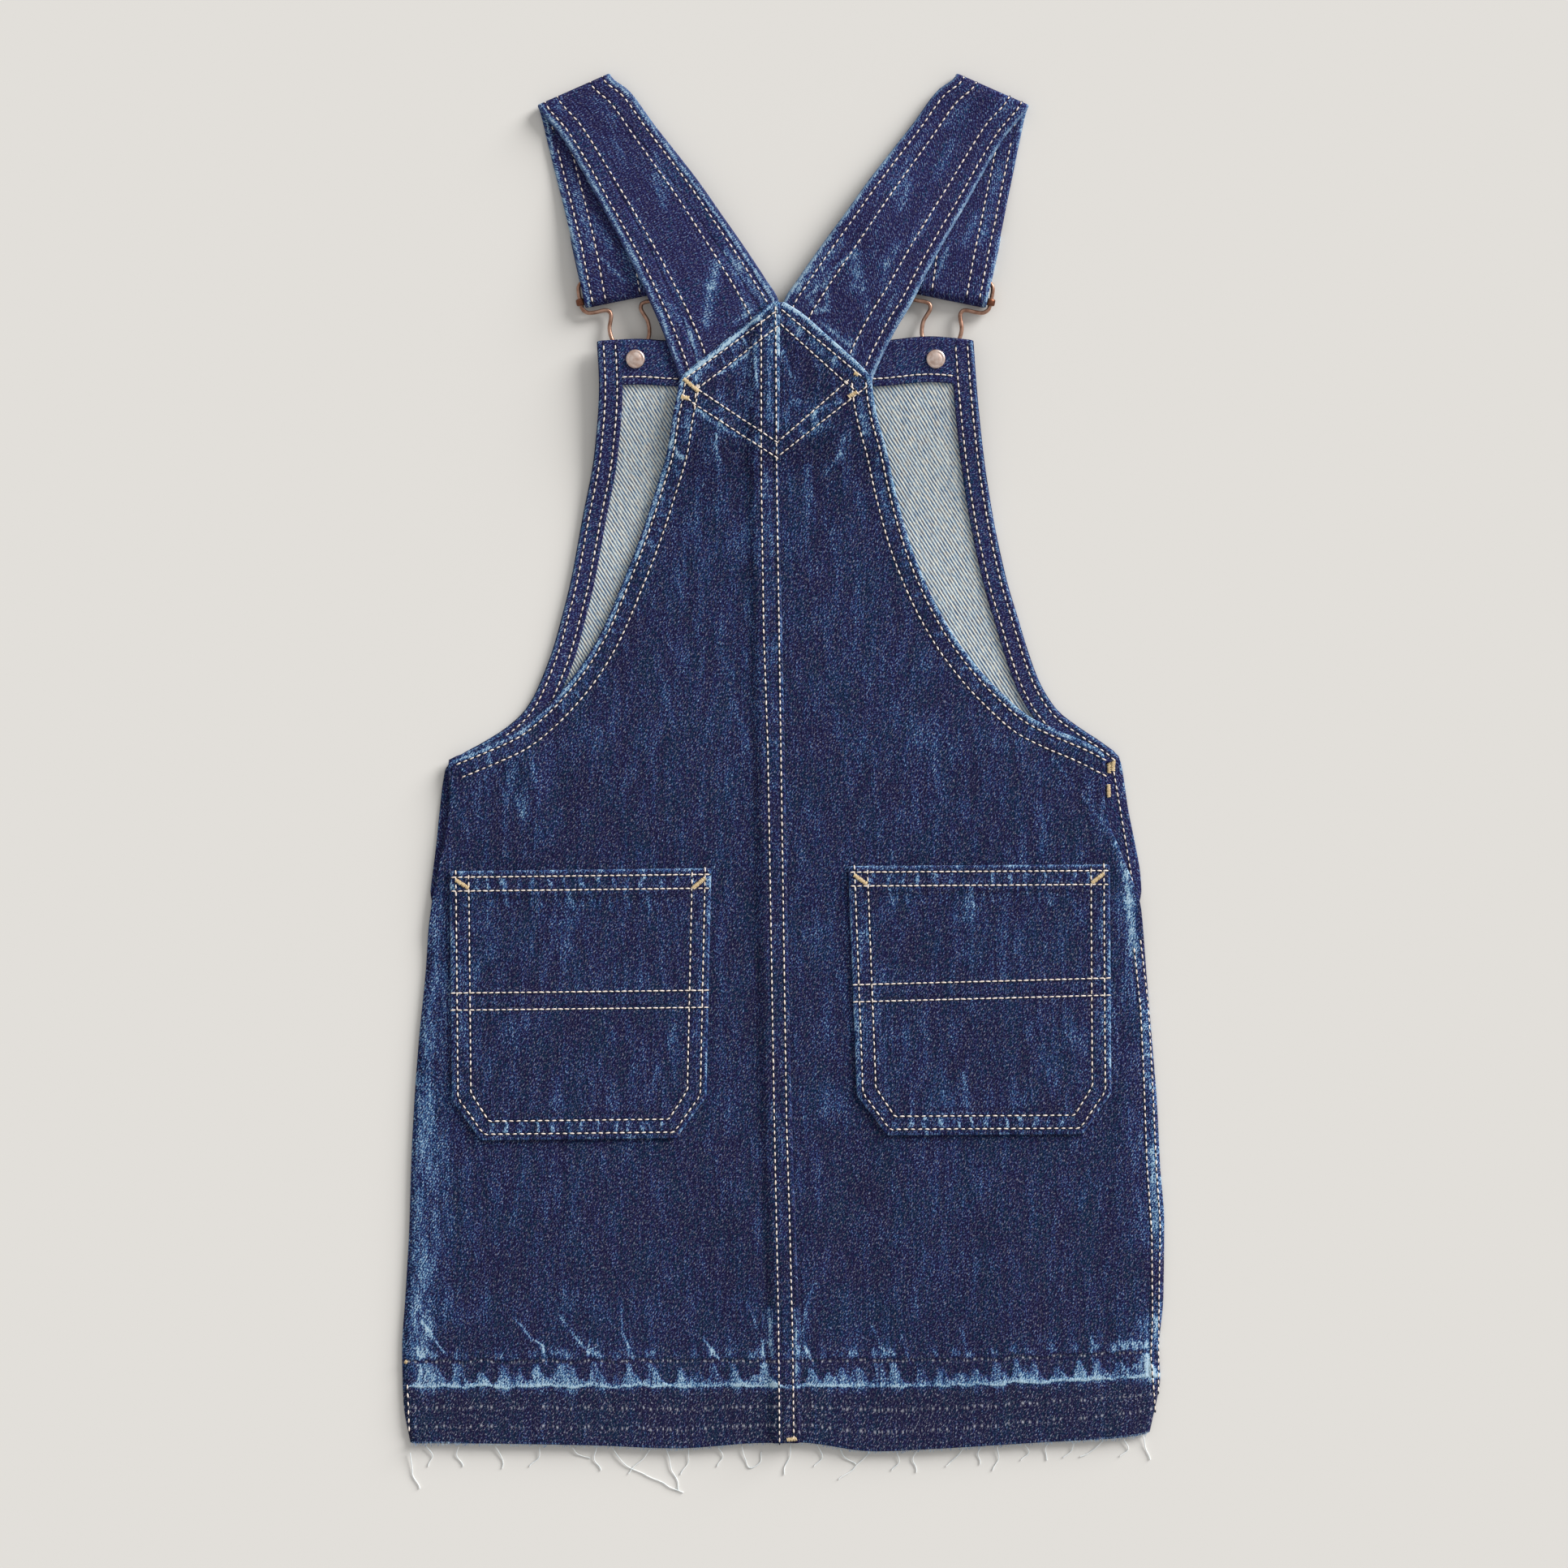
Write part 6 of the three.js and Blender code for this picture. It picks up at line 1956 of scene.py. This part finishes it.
class Dress:
    """The whole dress: its cloth, its sewing, its raw hem and its metal."""

    def __init__(self, palette: Palette) -> None:
        """Builds the cloth and shows it to the sewing."""
        self.palette = palette
        self.sewing = Sewing(palette)
        self.extra: list = []
        self.front = Front().build(palette)
        self.facing = BibFacing().build(palette)
        self.hems = {side: ArmholeHem(side).build(palette) for side in Side}
        self.halves = {side: BackHalf(side) for side in Side}
        self.backs = {side: half.build(palette) for side, half in self.halves.items()}
        self.pockets = [Pocket(size) for size in POCKETS]
        self.pouches = {p.size.name: p.build(palette) for p in self.pockets}
        self.straps = {side: Strap(side) for side in Side}
        self.bands = {side: strap.build(palette) for side, strap in self.straps.items()}
        self.sewing.learn("front", self.front)
        self.sewing.learn("bib_facing", self.facing)
        for side in Side:
            self.sewing.learn(f"back_{side.word}", self.backs[side])
            self.sewing.learn(f"armhole_hem_{side.word}", self.hems[side])
        for name, shell in self.pouches.items():
            self.sewing.learn(name, shell)

    def rows(self, name: str, piece: str, rows: Sequence, pitch: float = STITCH_PITCH) -> None:
        """Sews rows onto a piece, under a name of their own."""
        self.extra += self.sewing.rows(name, [self.sewing.lay(piece, row) for row in rows], pitch)

    def tacks(self, name: str) -> None:
        """Sews a piece's bar tacks."""
        self.extra.append(self.sewing.tacks(name, [t for t in TACKS if t.piece == name]))

    def sew_side(self, side: Side) -> None:
        """Sews one back half with its yoke, then its armhole's hem and its strap."""
        name, left = f"back_{side.word}", side is Side.LEFT
        yoke = [p.points for p in YOKE_ROWS if left == ("left" in p.name)]
        self.rows(f"yoke_{side.word}", name, yoke, CLOSE_PITCH)
        seams = CENTRE_ROWS + LEFT_SIDE_ROW if left else SIDE_SEAM_ROWS
        armhole = [self.halves[side].armhole_row(d) for d in (EDGE_ROW, EDGE_ROW + 6.8)]
        self.rows(name, name, armhole + [p.points for p in seams])
        self.tacks(name)
        name = f"armhole_hem_{side.word}"
        edge = outline(front_left if left else front_right, 3, 203)
        self.rows(name, name, [offset(edge, side.value * d) for d in ARMHOLE_HEM_ROWS])
        runs = [self.straps[side].row(a, *span) for span in STRAP_ROW_SPANS for a in STRAP_ROWS]
        self.extra += self.sewing.rows(f"strap_{side.word}", runs)

    def sew(self) -> None:
        """Sews every piece."""
        for side in Side:
            self.sew_side(side)
        for pocket in self.pockets:
            name, rows = pocket.size.name, pocket.rows()
            self.rows(name, name, rows[:2])
            self.rows(f"{name}_across", name, rows[2:], CLOSE_PITCH)
            self.tacks(name)
        foot = [
            (x, FACING_FOOT + float(bib_arch(np.array(x), np.array(FACING_FOOT))))
            for x in np.linspace(-78, 82, 60)
        ]
        self.rows("bib_facing", "bib_facing", [foot], CLOSE_PITCH)
        self.rows("front", "front", [p.points for p in SLIT_ROWS])
        self.tacks("front")

    def fray(self) -> None:
        """Hangs the fluff and the loose threads from the raw hem."""
        x = np.linspace(*RAW_EDGE_SPAN, 400)
        raw = np.stack([x, HEM_LINE - hem_drop(x) + 0.3, np.full(x.shape, 3.4)], axis=1)
        low = raw + np.array([0, 1.0, -2.4])
        self.extra.append(grow("hem_fray", [raw, low], strand_tree(), {
            "Pitch": 0.34 * MM, "Length": 2.6 * MM, "Radius": 0.1 * MM, "Spread": 1.7, "Seed": 5,
            "Material": self.palette.fray,
        }))
        points, faces, start = [], [], 0
        for run in LOOSE_THREADS:
            path = smooth_run([(x, y, 1.4 - 0.9 * i) for i, (x, y) in enumerate(run)], 1.0)
            wave = np.sin(np.arange(len(path)) * 0.55 + run[0][0])
            path[:, 0] += 0.8 * wave * np.linspace(0, 1, len(path))
            path[:, 2] = np.maximum(path[:, 2], 0.2)
            ring, sides = tube(path, 0.27, 5, False)
            points.append(ring)
            faces += (sides + start).tolist()
            start += len(ring)
        self.extra.append(make_mesh("hem_loose_threads", np.concatenate(points), faces, self.palette.loose))

    def finish(self) -> None:
        """Builds the metal, fixes every piece to the one body and hides the solids that it stands for."""
        finish_piece(self.front.object, ["front"])
        finish_piece(self.facing.object, ["bib_facing"])
        for side in Side:
            cloth = {"armhole_hem": self.hems, "back": self.backs, "strap": self.bands}
            for node, shells in cloth.items():
                finish_piece(shells[side].object, [f"{node}_{side.word}"])
            metal = Fastening(side)
            parts = {"buckle": metal.wire, "buckle_bar": metal.bar}
            parts.update({"button": metal.button, "rivet": metal.rivet})
            for node, build in parts.items():
                finish_piece(build(self.palette), [f"{node}_{side.word}"])
        for name, shell in self.pouches.items():
            finish_piece(shell.object, [name])
        for piece in self.extra:
            finish_piece(piece)

    def declare(self) -> None:
        """Works out the area of each sheet against its flat size, in millimetres."""
        declare_sheet(self.front, (376, 545))
        declare_sheet(self.facing, (166, 24))
        for side in Side:
            declare_sheet(self.hems[side], (12, 236))
            declare_sheet(self.backs[side], (199, 563))
            declare_sheet(self.bands[side], (46, 330))
        for pocket in self.pockets:
            side = Side.LEFT if pocket.size.x < 0 else Side.RIGHT
            declare_sheet(self.pouches[pocket.size.name], (130, 134))


def main() -> None:
    """Builds the dress and the studio."""
    logging.basicConfig(level=logging.INFO, format="%(message)s")
    bpy.context.scene.view_settings.view_transform = "Standard"
    dress = Dress(Palette())
    log.info("cloth built")
    dress.sew()
    log.info("sewing laid")
    dress.fray()
    dress.finish()
    dress.declare()
    Studio()


if __name__ == "__main__":
    main()
